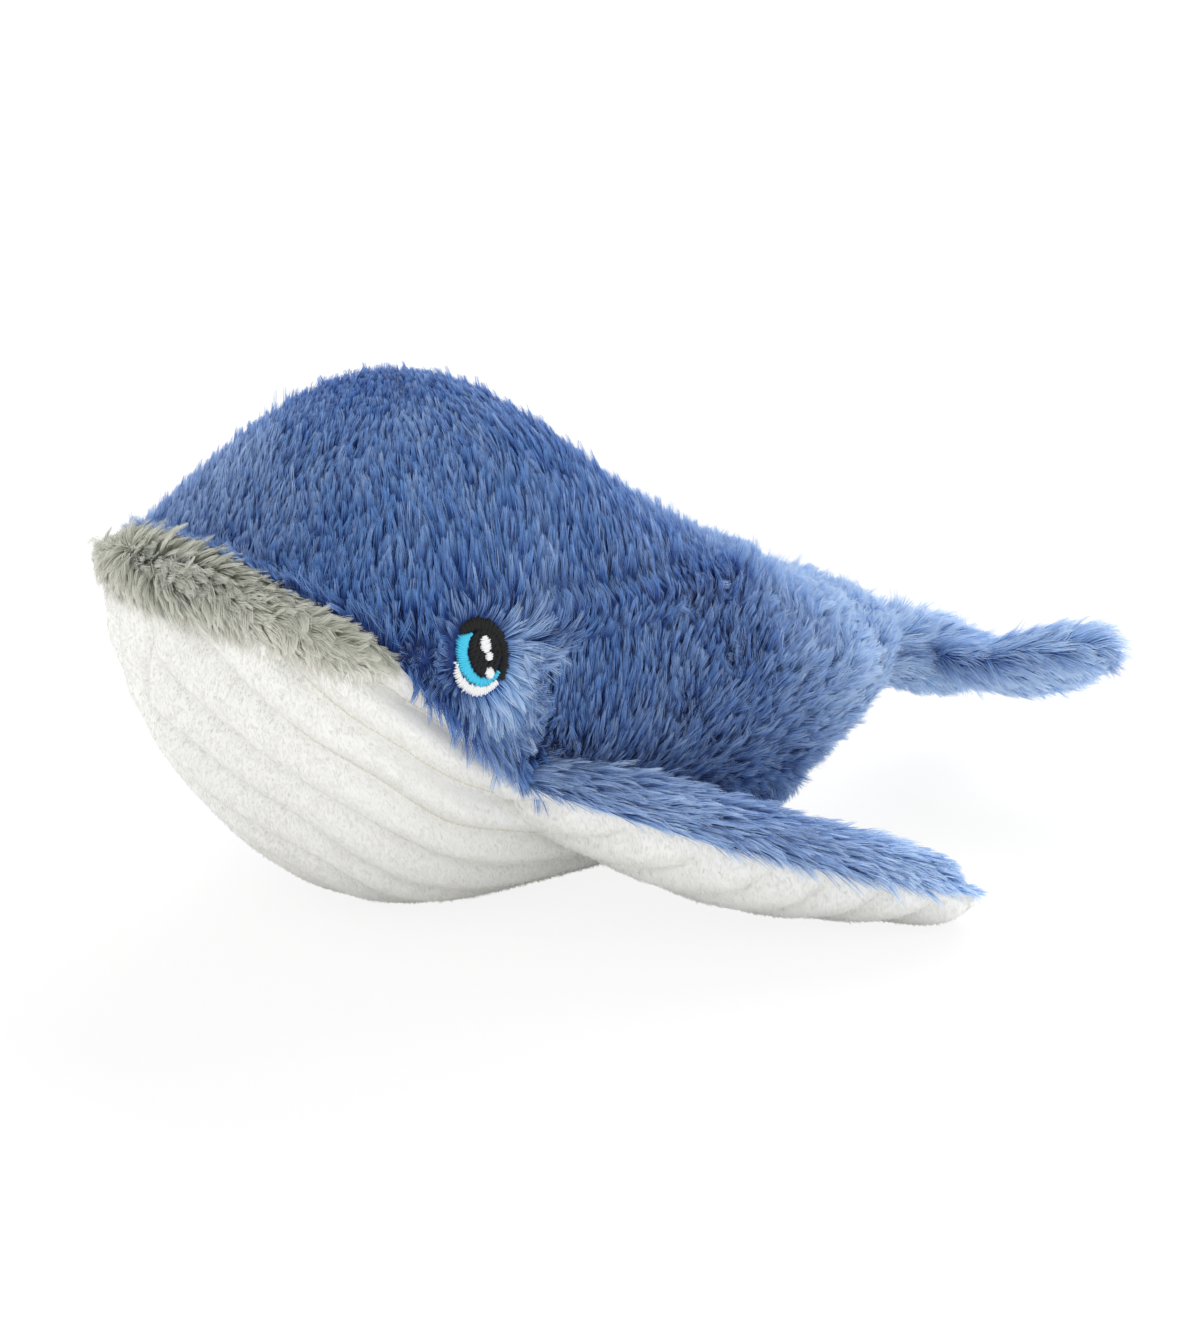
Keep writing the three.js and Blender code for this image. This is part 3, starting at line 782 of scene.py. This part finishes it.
def back_shade(roots, edge):
    """Shade of the blue pile: pale on the cheek, darker near the seams and patchy. Painted light and shade on
    top of that: pale on the rump, along the ridge and on the forehead's right side, paler low on the body and
    darker at the temples.
    """
    x, y, z = roots.T
    cheek = cheek_share(roots)
    patches = drift(roots, 30, 5) * 0.06 + drift(roots, 9, 6) * 0.06
    # painted light: paler on the rump and towards it, as lit from above and behind
    rump = 0.75 * ease(y + 0.35 * (z - 60), -10, 46)
    # painted light: a pale stripe along the ridge of the forehead and the back
    ridge = bell(x, 22) * (0.25 * ease(y, -80, -106) + 0.55 * ease(y, -70, 0))
    # painted light: the forehead's right side paler, as lit from behind
    painted_brow_light = 0.5 * ease(x, 2, -30) * ease(y, -56, -96)
    # painted shade: the sides of the head darker
    painted_temple_shade = 0.18 * bell(y + 84, 22) * ease(z, 100, 78) * (1 - cheek)
    at_edge = 0.1 * bell(edge, 16) * (1 - cheek)
    # The rise low down on the body is painted light that lifts its shaded underside.
    return 0.14 + patches + rump + 1.0 * cheek + 0.16 * ease(z, 60, 25) - at_edge + ridge + painted_brow_light - painted_temple_shade


def back_pile(name, side, random):
    """The blue pile of one back panel."""
    roots, normals = back_skin(side).scatter(8.2, random)
    roots, normals = kept(eye_ratio(roots)[0] > 0.93, roots, normals)
    comb = back_comb(roots, normals)
    combed = np.linalg.norm(comb, axis=1)
    over_lip, _, over_seam = seam_places(roots)
    edge = np.where(roots[:, 1] < MOUTH_END, over_lip, over_seam)
    ahead = ease(roots[:, 1], -57, -66)
    soft = ease(roots[:, 1], -60, 20)
    cheek = cheek_share(roots)
    return pile(
        f"pile_back_{name}", roots, normals, comb, back_shade(roots, edge), BLUE_PILE, 21 + side,
        length=back_length(roots, combed, edge, ahead), width=0.16, stand=0.8 - 0.3 * cheek,
        lay=0.06 + 0.18 * (1 - combed), gather=0.72 - 0.14 * soft, stray=0.08 + 0.07 * soft,
        uneven=0.11 + 0.07 * soft, curl=0.1 + 0.2 * soft + 0.3 * cheek + 0.3 * ahead * bell(edge, 7),
        mottle=0.15, rows=3,
    )


def lip_comb(points, normals):
    """The way the lip's pile flows back along the band from a parting, and the share up the band."""
    over_lip, over_mouth, _ = seam_places(points)
    share = np.clip(over_mouth / np.maximum(over_mouth - over_lip, 1), 0, 1)
    back = np.tanh((points[:, 0] + 24) / 16)
    flow = np.stack([0.75 * back, np.full(len(points), 0.8), -0.55 + 0.5 * ease(share, 0.55, 1.0)], 1)
    flow[:, 2] -= 0.35 * ease(share, 0.35, 0.0) + 0.5 * (1 - np.abs(back))
    comb = surface_part(flow, normals)
    comb = comb * 0.3 + unit(comb) * 0.65
    swirl = drift(points, 10, 7) * 0.3 + drift(points, 4, 27) * 0.25
    return swirled(comb, normals, swirl), share


def lip_pile():
    """The grey-green pile of the lip, in wavy locks that lie along the band."""
    roots, normals = skin.cut(in_lip).scatter(17, np.random.default_rng(12))
    comb, share = lip_comb(roots, normals)
    front = bell(roots[:, 0], 24)
    low_edge = ease(share, 0.5, 0.05) * (1 - 0.65 * front)
    high_edge = ease(share, 0.65, 1.0)
    shade = 0.26 + 0.64 * low_edge + 0.12 * drift(roots, 6, 8)
    return pile(
        "pile_lip", roots, normals, comb, shade, LIP_PILE, 31,
        length=5.2 - 2.2 * low_edge - 2.5 * high_edge + 1.8 * front * ease(share, 0.6, 0.1), width=0.16,
        stand=0.66 - 0.15 * low_edge, lay=-0.06, tufts=0.06, gather=0.72, stray=0.22, uneven=0.16, curl=0.4,
    )


def throat_nap(throat):
    """The short white nap of the throat, a little longer and creamier where it meets the lip, and darker and
    creamier along the grooves with painted shade.
    """
    roots, normals = throat.scatter(4.2, np.random.default_rng(13))
    away = rib_depth(roots)
    roots, normals, away = kept((roots[:, 2] > 2) & (away > 0.3), roots, normals, away)
    comb = surface_part(np.array([0, 0.25, -1.0]), normals)
    at_lip = np.where(roots[:, 1] < MOUTH_END, bell(seam_places(roots)[1], 3.0), 0)
    # painted shade: the nap darker along the grooves
    shade = 0.6 + 0.04 * drift(roots, 15, 9) - 0.6 * at_lip - 0.9 * bell(away, 1.3)
    return pile(
        "nap_throat", roots, normals, comb, shade, WHITE_PILE, 41,
        length=0.8 - 0.25 * np.exp(-away / 1.5) + 1.6 * at_lip, width=0.11, stand=0.5, lay=0.12, tufts=0.35,
        gather=0.1, stray=0.2, uneven=0.06, curl=0.2, mottle=0.04, rows=3, roll=0.3,
    )


def groove_stitch(tree, curve, run, place):
    """One stitch in a groove: its two ends on the throat's surface, and the way out there."""
    ends = []
    for step in (0, 1.1):
        spot = Vector(at_run(curve, run, place + step))
        normal = skin_tree.find_nearest(spot)[1]
        point = tree.ray_cast(spot + normal * 4, -normal, 9)[0]
        if point is not None:
            ends.append(np.array(point + normal * 0.1))
    return ends, np.array(normal)


def rib_stitches(throat):
    """The thread that draws in each groove of the throat, in short stitches."""
    tree = BVHTree.FromPolygons(throat.points.tolist(), throat.triangles.tolist())
    stitches = []
    for curve in RIB_CURVES:
        run = run_along(curve)
        for place in np.arange(0.5, run[-1] - 1.5, 1.6):
            ends, normal = groove_stitch(tree, curve, run, place)
            if len(ends) == 2 and ends[0][2] >= 2 and np.linalg.norm(ends[0] - ends[1]) <= 1.6:
                stitches.append((*ends, normal))
    starts, ends, ups = np.array(stitches).swapaxes(0, 1)
    shares = np.linspace(0, 1, 5)[None, :, None]
    paths = starts[:, None] * (1 - shares) + ends[:, None] * shares
    paths = paths + ups[:, None] * (np.sin(np.pi * shares) * 0.16 - 0.08)
    widths = np.full(paths.shape[:2], 0.3)
    return strand_mesh("stitches_throat", paths, ups, widths, np.full(len(paths), 0.5), RIB_THREAD, ROUND)


# Limbs
LIMB_FILL = 0.6
TOP_INSET = 3.4
UNDER_INSET = 1.1


def limb_grid(rows, size, inset, steps, sides):
    """A limb along +X with rounded sections, drawn in by an inset: its points and triangles."""
    length, width, thickness = size
    places = np.linspace(0, len(rows) - 1, steps + 1)
    along, half, thick = (row_value(rows, column, places) for column in range(3))
    turn = np.linspace(0, 2 * math.pi, sides, endpoint=False)
    y = np.cos(turn) * np.maximum(half[:, None] * width / 2 - inset, 0.05)
    z = np.sin(turn) * np.maximum(thick[:, None] * thickness / 2 - inset, 0.05)
    x = np.repeat((along * (length - inset))[:, None], sides, 1)
    grid = np.arange((steps + 1) * sides).reshape(steps + 1, sides)
    after = np.roll(grid, -1, axis=1)
    a, b, c, d = grid[:-1], after[:-1], after[1:], grid[1:]
    halves = [np.stack(corners, -1).reshape(-1, 3) for corners in ((a, b, c), (a, c, d))]
    return np.stack([x, y, z], -1).reshape(-1, 3), np.concatenate(halves)


def placed(points, place, degrees):
    """Points turned and moved from a limb's own frame to the whale's."""
    return points @ turn_matrix(degrees).T + np.array(place)


# Fins
FIN_STEPS = 90
FIN_SIDES = 72
FIN_RIB = 15
FIN_AXIS, FIN_ACROSS, FIN_UP = turn_matrix(FIN_TURN).T


def fin_surface(side):
    """The fin's skin, and how far each point lies above the seam along its edge."""
    (local, triangles), (drawn, _), (shallow, _) = (
        limb_grid(FIN_ROWS, FIN_SIZE, inset, FIN_STEPS, FIN_SIDES) for inset in (0, TOP_INSET, UNDER_INSET)
    )
    ring = np.sin(np.linspace(0, 2 * math.pi, FIN_SIDES, endpoint=False))
    upper = np.clip(np.tile(ring, FIN_STEPS + 1) * 3, 0, 1)
    points = shallow + (drawn - shallow) * upper[:, None]
    points[:, 2] += FIN_TIP_RISE * (local[:, 0] / FIN_SIZE[0]) ** 2
    points = placed(points, FIN_PLACE, FIN_TURN) * (side, 1, 1)
    return Surface(points, triangles[:, ::side].copy()), local[:, 2] + 1e-4


def fin_place(points, side):
    """Along, across and above the fin's own middle, in millimetres."""
    away = points * (side, 1, 1) - np.array(FIN_PLACE)
    return away @ FIN_AXIS, away @ FIN_ACROSS, away @ FIN_UP


def fin_underside(cut, side):
    """The fin's white underside with its stitched ribs, a sagging middle and a blunt tip."""
    bottom = finer(cut)
    along, across, height = fin_place(bottom.points, side)
    depth = np.maximum(FIN_TIP_RISE * (along / FIN_SIZE[0]) ** 2 - height, 0)
    groove = np.abs(((along + across * 0.9 + 4) / FIN_RIB + 0.5) % 1 - 0.5) * FIN_RIB
    relief = rib_relief(groove, 1.3, 2.8) * ease(depth, 0, 4)
    bottom.points = bottom.points + bottom.normals * relief[:, None]
    bottom.points[:, 2] -= 4.2 * bell(along - 58, 30) * ease(depth, 0, 5)
    blunt = 1.8 * ease(along, 84, 104) * ease(depth, 0, 2)
    bottom.points = bottom.points + FIN_AXIS * (side, 1, 1) * blunt[:, None]
    bottom.points[:, 2] = np.maximum(bottom.points[:, 2], FLOOR_GAP)
    bottom.find_normals()
    return bottom


def fin_comb(roots, normals, along, across, side):
    """The way a fin's pile lies: to the tip, outward at its edges and down over its seam."""
    rows = np.array(FIN_ROWS)
    edge = across / (np.interp(along / FIN_SIZE[0], rows[:, 0], rows[:, 1]) * FIN_SIZE[1] / 2)
    outward = edge * (0.4 + 0.6 * ease(np.abs(edge), 0.7, 1.0))
    down = np.array([0, 0, -0.12]) - np.array([0, 0, 0.5]) * ease(np.abs(edge), 0.75, 1.0)[:, None]
    way = (FIN_AXIS + down + FIN_ACROSS * outward[:, None]) * (side, 1, 1)
    return unit(swirled(along_surface(way, normals), normals, drift(roots, 16, 15) * 0.25))


def fin_pile(name, top, side, random):
    """The blue pile on top of a fin, shorter at its tip, and pale with painted light, paler still at its tip.
    """
    roots, normals = top.scatter(5.6, random)
    along, across, _ = fin_place(roots, side)
    roots, normals, along, across = kept(along > 4, roots, normals, along, across)
    comb = fin_comb(roots, normals, along, across, side)
    patches = drift(roots, 18, 16) * 0.08 + drift(roots, 5, 17) * 0.08
    # painted light: the fin's pile pale, and paler towards its tip
    shade = 0.66 + patches + 0.55 * ease(along, 55, 100)
    length = 8.2 - 4.6 * ease(along, 82, 106)
    return pile(f"pile_fin_{name}", roots, normals, comb, shade, BLUE_PILE, 51, length, width=0.2, stand=0.7)


def fin_nap(name, bottom, random):
    """The short white nap under a fin."""
    roots, normals = bottom.scatter(3.4, random)
    roots, normals = kept(roots[:, 2] > 1.5, roots, normals)
    comb = along_surface(np.array([0, 0.2, -1.0]), normals)
    return pile(
        f"nap_fin_{name}", roots, normals, comb, 0.8, WHITE_PILE, 61, length=1.0, width=0.13, stand=0.5,
        lay=0.12, tufts=0.3, gather=0.15, stray=0.18, uneven=0.08, curl=0.2, mottle=0.05, rows=3, roll=0.3,
    )


def fin_pieces(side):
    """The skins and the pile of one fin."""
    name = "left" if side > 0 else "right"
    surface, above = fin_surface(side)
    top = surface.cut(above)
    bottom = fin_underside(surface.cut(-above), side)
    fin = f"fin_{name}"
    skins = [
        add_skin(f"{fin}_top", top, BLUE_CLOTH, LIMB_FILL, f"{fin}_top_panel", f"{fin}_stuffing"),
        add_skin(f"{fin}_bottom", bottom, WHITE_CLOTH, LIMB_FILL, f"{fin}_bottom_panel"),
    ]
    random = np.random.default_rng(14)
    return skins + fin_pile(name, top, side, random) + fin_nap(name, bottom, random)


# Tail
TAIL_AXES = turn_matrix(TAIL_TURN)
LOBE_TURNS = [turn_matrix((0, 0, side * LOBE_SWEEP)) for side in (-1, 1)]


def tail_lift(points):
    """The fluke sags below the stem's root, and its lobes' tips rise and curl up."""
    back = np.clip((points[:, 0] - STEM_BURIED) / LOBE_SIZE[0], 0, 1)
    aside = np.abs(points[:, 1]) / LOBE_SIZE[0]
    curl = 1.0 * ease(aside, 0.38, 0.75) - 1.6 * bell(aside - 0.3, 0.14)
    return 2 * TAIL_TIP_RISE * aside**2 - TAIL_SAG * np.sin(back * math.pi / 2) + curl


def lobe_start():
    """Where both lobes start in the tail's own frame, so that the fluke ends at the tail's reach."""
    outer, _ = limb_grid(LOBE_ROWS, LOBE_SIZE, 0, 60, 56)
    rear = max(placed(outer @ turn.T, TAIL_PLACE, TAIL_TURN)[:, 1].max() for turn in LOBE_TURNS)
    return np.array([(TAIL_REACH - rear) / math.cos(math.radians(90 - TAIL_TURN[2])), 0, 0])


def tail_forms(start):
    """The stem and the two lobes in the tail's own frame, before they are bent."""
    stem, stem_faces = limb_grid(STEM_ROWS, STEM_SIZE, TOP_INSET, 50, 56)
    lobe, lobe_faces = limb_grid(LOBE_ROWS, LOBE_SIZE, TOP_INSET, 60, 56)
    return [(stem, stem_faces)] + [(lobe @ turn.T + start, lobe_faces) for turn in LOBE_TURNS]


def inside_form(points, rows, size):
    """How deep points lie in a limb along +X, 1 at its surface and less inside."""
    share = np.clip(points[:, 0] / size[0], 0, 1)
    table = np.array(rows)
    half = np.interp(share, table[:, 0], table[:, 1]) * size[1] / 2
    thick = np.interp(share, table[:, 0], table[:, 2]) * size[2] / 2
    out = (points[:, 0] < 0) | (points[:, 0] > size[0])
    ratio = np.hypot(points[:, 1] / np.maximum(half, 0.1), points[:, 2] / np.maximum(thick, 0.1))
    return np.where(out, 9, ratio)


def tail_shown(local, number, start):
    """Which places of one form aren't deep inside another."""
    depths = [inside_form(local, STEM_ROWS, STEM_SIZE)]
    depths += [inside_form((local - start) @ turn, LOBE_ROWS, LOBE_SIZE) for turn in LOBE_TURNS]
    del depths[number]
    return np.min(depths, axis=0) > 0.62


def tail_comb(roots, normals, local, number):
    """The way the pile of a form lies: along it to the rear, up above the seam and down below it."""
    axis = TAIL_AXES[:, 0] if number == 0 else TAIL_AXES @ LOBE_TURNS[number - 1][:, 0]
    above = ease(local[:, 2], 0, 4)[:, None]
    far = ease(np.abs(local[:, 1]) / LOBE_SIZE[0], 0.4, 0.65)[:, None]
    rise = -0.45 + 0.7 * above + 0.3 * above * far
    flow = axis * 0.75 + TAIL_AXES[:, 0] * 0.3 + np.array([0, 0, 1]) * rise
    return unit(swirled(along_surface(flow, normals), normals, drift(roots, 14, 18) * 0.35))


def tail_pile(surfaces, start):
    """The blue pile of the stem and both lobes: pale with painted light, darker along its seam, and darker
    with painted shade in the valley at the stem's root.
    """
    random = np.random.default_rng(15)
    rows = []
    for number, surface in enumerate(surfaces):
        roots, normals = surface.scatter(6.6, random)
        local = (roots - np.array(TAIL_PLACE)) @ TAIL_AXES
        local[:, 2] -= tail_lift(local)
        comb = tail_comb(roots, normals, local, number)
        rows.append(kept(tail_shown(local, number, start), roots, normals, comb, local))
    roots, normals, comb, local = (np.concatenate(group) for group in zip(*rows))
    upper = local[:, 2]
    tip = ease(np.abs(local[:, 1]) / LOBE_SIZE[0], 0.45, 0.72)
    seam = bell(upper, 1.4)
    # painted shade: darker in the valley where the stem leaves the body
    root = bell(np.linalg.norm(roots - (0, 76, 36), axis=1), 14)
    # the high base is painted light, which keeps the whole tail pale
    shade = 1.3 + drift(roots, 18, 19) * 0.08 - 0.65 * seam - 0.5 * root
    return pile(
        "pile_tail", roots, normals, comb, shade, BLUE_PILE, 71,
        length=7.6 - 1.6 * tip + 2.6 * tip * ease(upper, 0, 4) - 2.6 * ease(upper, 0, -5), width=0.18,
        stand=0.58 + 0.6 * tip * ease(upper, 0, 4), lay=0.1, gather=0.52, stray=0.18, uneven=0.12, curl=0.25,
    )


def tail_skin(name, parts, *nodes):
    """One panel of the tail, made of the matching halves of the stem and both lobes."""
    counts = [len(part.points) for part in parts]
    offsets = np.cumsum([0] + counts[:-1])
    points = np.concatenate([part.points for part in parts])
    faces = np.concatenate([part.triangles + offset for part, offset in zip(parts, offsets)])
    return add_skin(f"tail_{name}", Surface(points, faces), BLUE_CLOTH, LIMB_FILL, *nodes)


def tail_pieces():
    """The skins and the pile of the tail."""
    start = lobe_start()
    surfaces, tops, bottoms = [], [], []
    for points, faces in tail_forms(start):
        bent = points + np.outer(tail_lift(points), (0, 0, 1))
        surface = Surface(placed(bent, TAIL_PLACE, TAIL_TURN), faces)
        surfaces.append(surface)
        tops.append(surface.cut(points[:, 2] + 1e-4))
        bottoms.append(surface.cut(-points[:, 2] - 1e-4))
    fur = tail_pile(surfaces, start)
    top = tail_skin("top", tops, "tail_top_panel", "tail_stuffing")
    bottom = tail_skin("bottom", bottoms, "tail_bottom_panel")
    return [top, bottom] + fur


# Eyes
EYE_PARTS = ("white_satin", "iris_satin", "pupil_satin", "upper_glint", "lower_glint")


def eye_terms(along, up):
    """The terms of a smooth function of the place along and up from the eye's centre."""
    return np.stack([np.ones_like(along), along, up, along * along, along * up, up * up], -1)


def eye_weights():
    """Weights with which those terms give how far out the solids' embroidery lies."""
    places = []
    for part in EYE_PARTS:
        places += [vertex.co * 1000 for vertex in frame["nodes"][f"eye_left_{part}"].data.vertices]
    places = np.array(places)
    terms = eye_terms(places[:, 1] - EYE_PLACE[0], places[:, 2] - EYE_PLACE[1])
    return np.linalg.lstsq(terms, places[:, 0], rcond=None)[0]


EYE_WEIGHTS = eye_weights()


def oval(along, up, wide, high):
    """An oval of the eye, in millimetres from its centre: its middle and half sizes."""
    return np.array([along, up]) * EYE_SIZE, np.array([wide, high]) * EYE_SIZE / 2


def facing(turn):
    """Directions at these angles."""
    return np.stack([np.cos(turn), np.sin(turn)], -1)


def oval_reach(shape, turn):
    """The oval's edge in the direction of an angle seen from the eye's centre."""
    middle, half = shape
    way = facing(turn)
    a = ((way / half) ** 2).sum(-1)
    b = (-2 * way * middle / half**2).sum(-1)
    c = ((middle / half) ** 2).sum() - 1
    return (-b + np.sqrt(np.maximum(b * b - 4 * a * c, 0))) / (2 * a)


def stitch_mesh(name, stitches, side, material, width, proud):
    """Threads from starts to ends, each a low arch over the cloth."""
    starts, ends = stitches
    shares = np.linspace(0, 1, 7)
    flat = starts[:, None, :] * (1 - shares)[None, :, None] + ends[:, None, :] * shares[None, :, None]
    arch = 0.34 * np.sin(np.pi * shares) ** 0.5 - 0.3
    step = np.where(np.arange(len(starts)) % 2, 0.1, 0)
    x = eye_terms(flat[..., 0], flat[..., 1]) @ EYE_WEIGHTS + proud + arch[None, :] + step[:, None]
    paths = np.stack([x * side, flat[..., 0] + EYE_PLACE[0], flat[..., 1] + EYE_PLACE[1]], -1)
    ups = unit(np.repeat([[side * 1.0, -0.25, 0.0]], len(starts), 0))
    widths = width * (0.72 + 0.28 * np.sin(np.pi * shares))[None, :] + np.zeros((len(starts), 1))
    return strand_mesh(name, paths, ups, widths, np.full(len(starts), 0.5), material, ROUND)


def radial_stitches(inner, outer, low, high, random, ragged, taper=0, below=99, above=-99, pitch=0.56):
    """Stitches between two ovals, over a range of angles seen from the eye's centre.

    They start short over the taper's angle. On the nose's side of the lid they end below one height,
    or start above another.
    """
    turn = np.radians(np.linspace(low, high, 400))
    run = run_along(facing(turn) * oval_reach(outer, turn)[:, None])
    turn = np.interp(np.arange(0, run[-1], pitch), run, turn)
    way = facing(turn)
    near = oval_reach(inner, turn) + random.uniform(-ragged, ragged * 0.5, len(turn))
    far = oval_reach(outer, turn) + random.uniform(-ragged, ragged, len(turn))
    if taper:
        far = near + (far - near) * (0.3 + 0.7 * ease(np.degrees(turn), low, low + taper))
    cut = (np.degrees(turn) > 90) & (np.degrees(turn) < 160)
    far = np.where(cut, np.minimum(far, below / np.sin(turn)), far)
    near = np.where(cut, np.maximum(near, above / np.sin(turn)), near)
    far = np.maximum(far, near + 0.5)
    return way * near[:, None], way * far[:, None]


def fill_stitches(shape, random, tilt, pitch=0.5, stitch=3.2):
    """Rows of stitches at a tilt that fill an oval, their joints shifted from row to row."""
    middle, half = shape
    way = np.array([math.cos(math.radians(tilt)), math.sin(math.radians(tilt))])
    across = np.array([-way[1], way[0]])
    line = np.linspace(-half.max(), half.max(), 300)
    starts, ends = [], []
    for number, offset in enumerate(np.arange(-half.max(), half.max(), pitch)):
        row = middle + across * offset
        inside = (((row + way * line[:, None] - middle) / half) ** 2).sum(1) < 1
        if inside.sum() < 4:
            continue
        low, high = line[inside].min(), line[inside].max()
        joints = np.arange(-20 + (number % 3) * stitch / 3, 20, stitch)
        joints = joints[(joints > low + 0.8) & (joints < high - 0.8)]
        cuts = [low, *joints, high]
        for one, two in zip(cuts[:-1], cuts[1:]):
            shift = random.uniform(-0.15, 0.15)
            starts.append(row + way * (one + shift * 0.3))
            ends.append(row + way * (two + shift))
    return np.array(starts), np.array(ends)


def eye_pieces(side):
    """The stitches of one eye, sewn colour over colour."""
    name = "left" if side > 0 else "right"
    random = np.random.default_rng(17)
    whole = oval(0, 0, 1, 1)
    iris = oval(0.03, 0.074, 0.9, 0.852)
    pupil = oval(0.085, 0.06, 0.6, 0.63)
    ring = oval(0, 0, 0.75, 0.71)

    def sewn(part, stitches, material, width, proud):
        return stitch_mesh(f"eye_{name}_{part}", stitches, side, material, width, proud)

    stitches = radial_stitches(iris, whole, 180, 304, random, 0.4, taper=24)
    white = sewn("white", stitches, WHITE_THREAD, 0.5, 0.0)
    stitches = radial_stitches(pupil, iris, 106, 323, random, 0.3, below=5.3)
    blue = sewn("iris", stitches, TURQUOISE_THREAD, 0.5, 0.14)
    stitches = radial_stitches(ring, whole, -46, 124, random, 0.35, above=5.5)
    lid = sewn("lid", stitches, BLACK_THREAD, 0.6, 0.2)
    stitches = fill_stitches((pupil[0], pupil[1] - 0.3), random, 35)
    black = sewn("pupil", stitches, BLACK_THREAD, 0.62, 0.16)
    upper, middle, lower = (
        sewn(f"{part}_glint", fill_stitches(oval(*place), random, tilt, 0.42, 9), WHITE_THREAD, 0.5, 0.5)
        for part, place, tilt in (
            ("upper", (0.096, 0.163, 0.2, 0.215), 4),
            ("middle", (0.138, 0.01, 0.14, 0.115), 4),
            ("lower", (0.128, -0.2, 0.155, 0.145), 62),
        )
    )
    for group, part in zip((white, blue, black, upper, middle), EYE_PARTS):
        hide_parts(f"eye_{name}_{part}")
    for piece in white + blue + black + lid + upper + middle + lower:
        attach(piece, "body")


throat = throat_surface()
body_skins(throat)
back_draws = np.random.default_rng(11)
back_fur = back_pile("left", 1, back_draws) + back_pile("right", -1, back_draws)
for piece in back_fur + lip_pile() + throat_nap(throat) + rib_stitches(throat):
    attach(piece, "body")

for side, body_name in ((1, "left_fin"), (-1, "right_fin")):
    for piece in fin_pieces(side):
        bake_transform(piece)
    eye_pieces(side)

for piece in tail_pieces():
    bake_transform(piece)


# Floor, light and camera
FRAME_WIDTH = 1200
FOCAL_LENGTH = 3996
CAMERA_TURN = 53
CAMERA_RISE = 15
CAMERA_AIM = (0, -0.0076, 0.0425)
CAMERA_DISTANCE = 0.9


def seen_directly(tree):
    """1 for rays from the camera, also over a mirror or through glass, and 0 for rays that light things."""
    path = node(tree, "ShaderNodeLightPath").outputs
    total = path["Is Camera Ray"]
    for name in ("Is Glossy Ray", "Is Transmission Ray"):
        add = node(tree, "ShaderNodeMath", {0: total, 1: path[name]})
        add.operation = "ADD"
        add.use_clamp = True
        total = add.outputs[0]
    return total


def floor_material():
    """A pale floor that looks almost white to the camera and keeps the whale's shadow."""
    material = bpy.data.materials.new("pale_floor")
    material.use_nodes = True
    tree = material.node_tree
    tree.nodes.remove(tree.nodes["Principled BSDF"])
    plain = node(tree, "ShaderNodeBsdfDiffuse", {"Color": (0.93, 0.93, 0.93, 1)}).outputs[0]
    white = node(tree, "ShaderNodeEmission").outputs[0]
    seen = node(tree, "ShaderNodeMixShader", {0: 0.88, 1: plain, 2: white}).outputs[0]
    mix = node(tree, "ShaderNodeMixShader", {0: seen_directly(tree), 1: plain, 2: seen}).outputs[0]
    feed(tree, tree.nodes["Material Output"], {"Surface": mix})
    return material


def stage():
    """The floor the whale lies on, 12 m wide."""
    mesh = bpy.data.meshes.new("floor")
    mesh.from_pydata([(-6, -6, 0), (6, -6, 0), (6, 6, 0), (-6, 6, 0)], [], [(0, 1, 2, 3)])
    mesh.materials.append(floor_material())
    new_object("floor", mesh)


def light(name, energy, direction, angle):
    """A broad lamp that shines from a direction, this many degrees wide."""
    lamp = bpy.data.lights.new(name, "SUN")
    lamp.energy = energy
    lamp.angle = math.radians(angle)
    new_object(name, lamp).rotation_euler = Vector(direction).to_track_quat("Z", "Y").to_euler()


def world():
    """An even white surrounding, seen as white and a little weaker as light."""
    space = bpy.data.worlds.new("studio")
    space.use_nodes = True
    tree = space.node_tree
    strength = node(tree, "ShaderNodeMapRange", {"Value": seen_directly(tree), "To Min": 0.77, "To Max": 1.0})
    background = {"Color": (1, 1, 1, 1), "Strength": strength.outputs["Result"]}
    feed(tree, tree.nodes["Background"], background)
    bpy.context.scene.world = space


def camera():
    """The photo's camera: off the front by its turn, above by its rise, its long lens given in pixels."""
    data = bpy.data.cameras.new("camera")
    data.sensor_fit = "HORIZONTAL"
    data.sensor_width = 36
    data.lens = FOCAL_LENGTH * data.sensor_width / FRAME_WIDTH
    data.clip_start = 0.01
    data.clip_end = 50
    thing = new_object("camera", data)
    turn, rise = math.radians(CAMERA_TURN), math.radians(CAMERA_RISE)
    back = Vector((math.sin(turn) * math.cos(rise), -math.cos(turn) * math.cos(rise), math.sin(rise)))
    thing.location = Vector(CAMERA_AIM) + back * CAMERA_DISTANCE
    thing.rotation_euler = back.to_track_quat("Z", "Y").to_euler()
    bpy.context.scene.camera = thing


stage()
world()
light("key", 0.06, (0.35, -0.35, 0.85), 60)
light("front_fill", 0.62, (0.68, -0.66, 0.2), 50)
light("left_rim", 2.4, (-0.62, 0.6, 0.5), 30)
light("back_rim", 1.6, (-0.3, 0.7, 0.6), 40)
camera()
bpy.context.scene.view_settings.view_transform = "Standard"
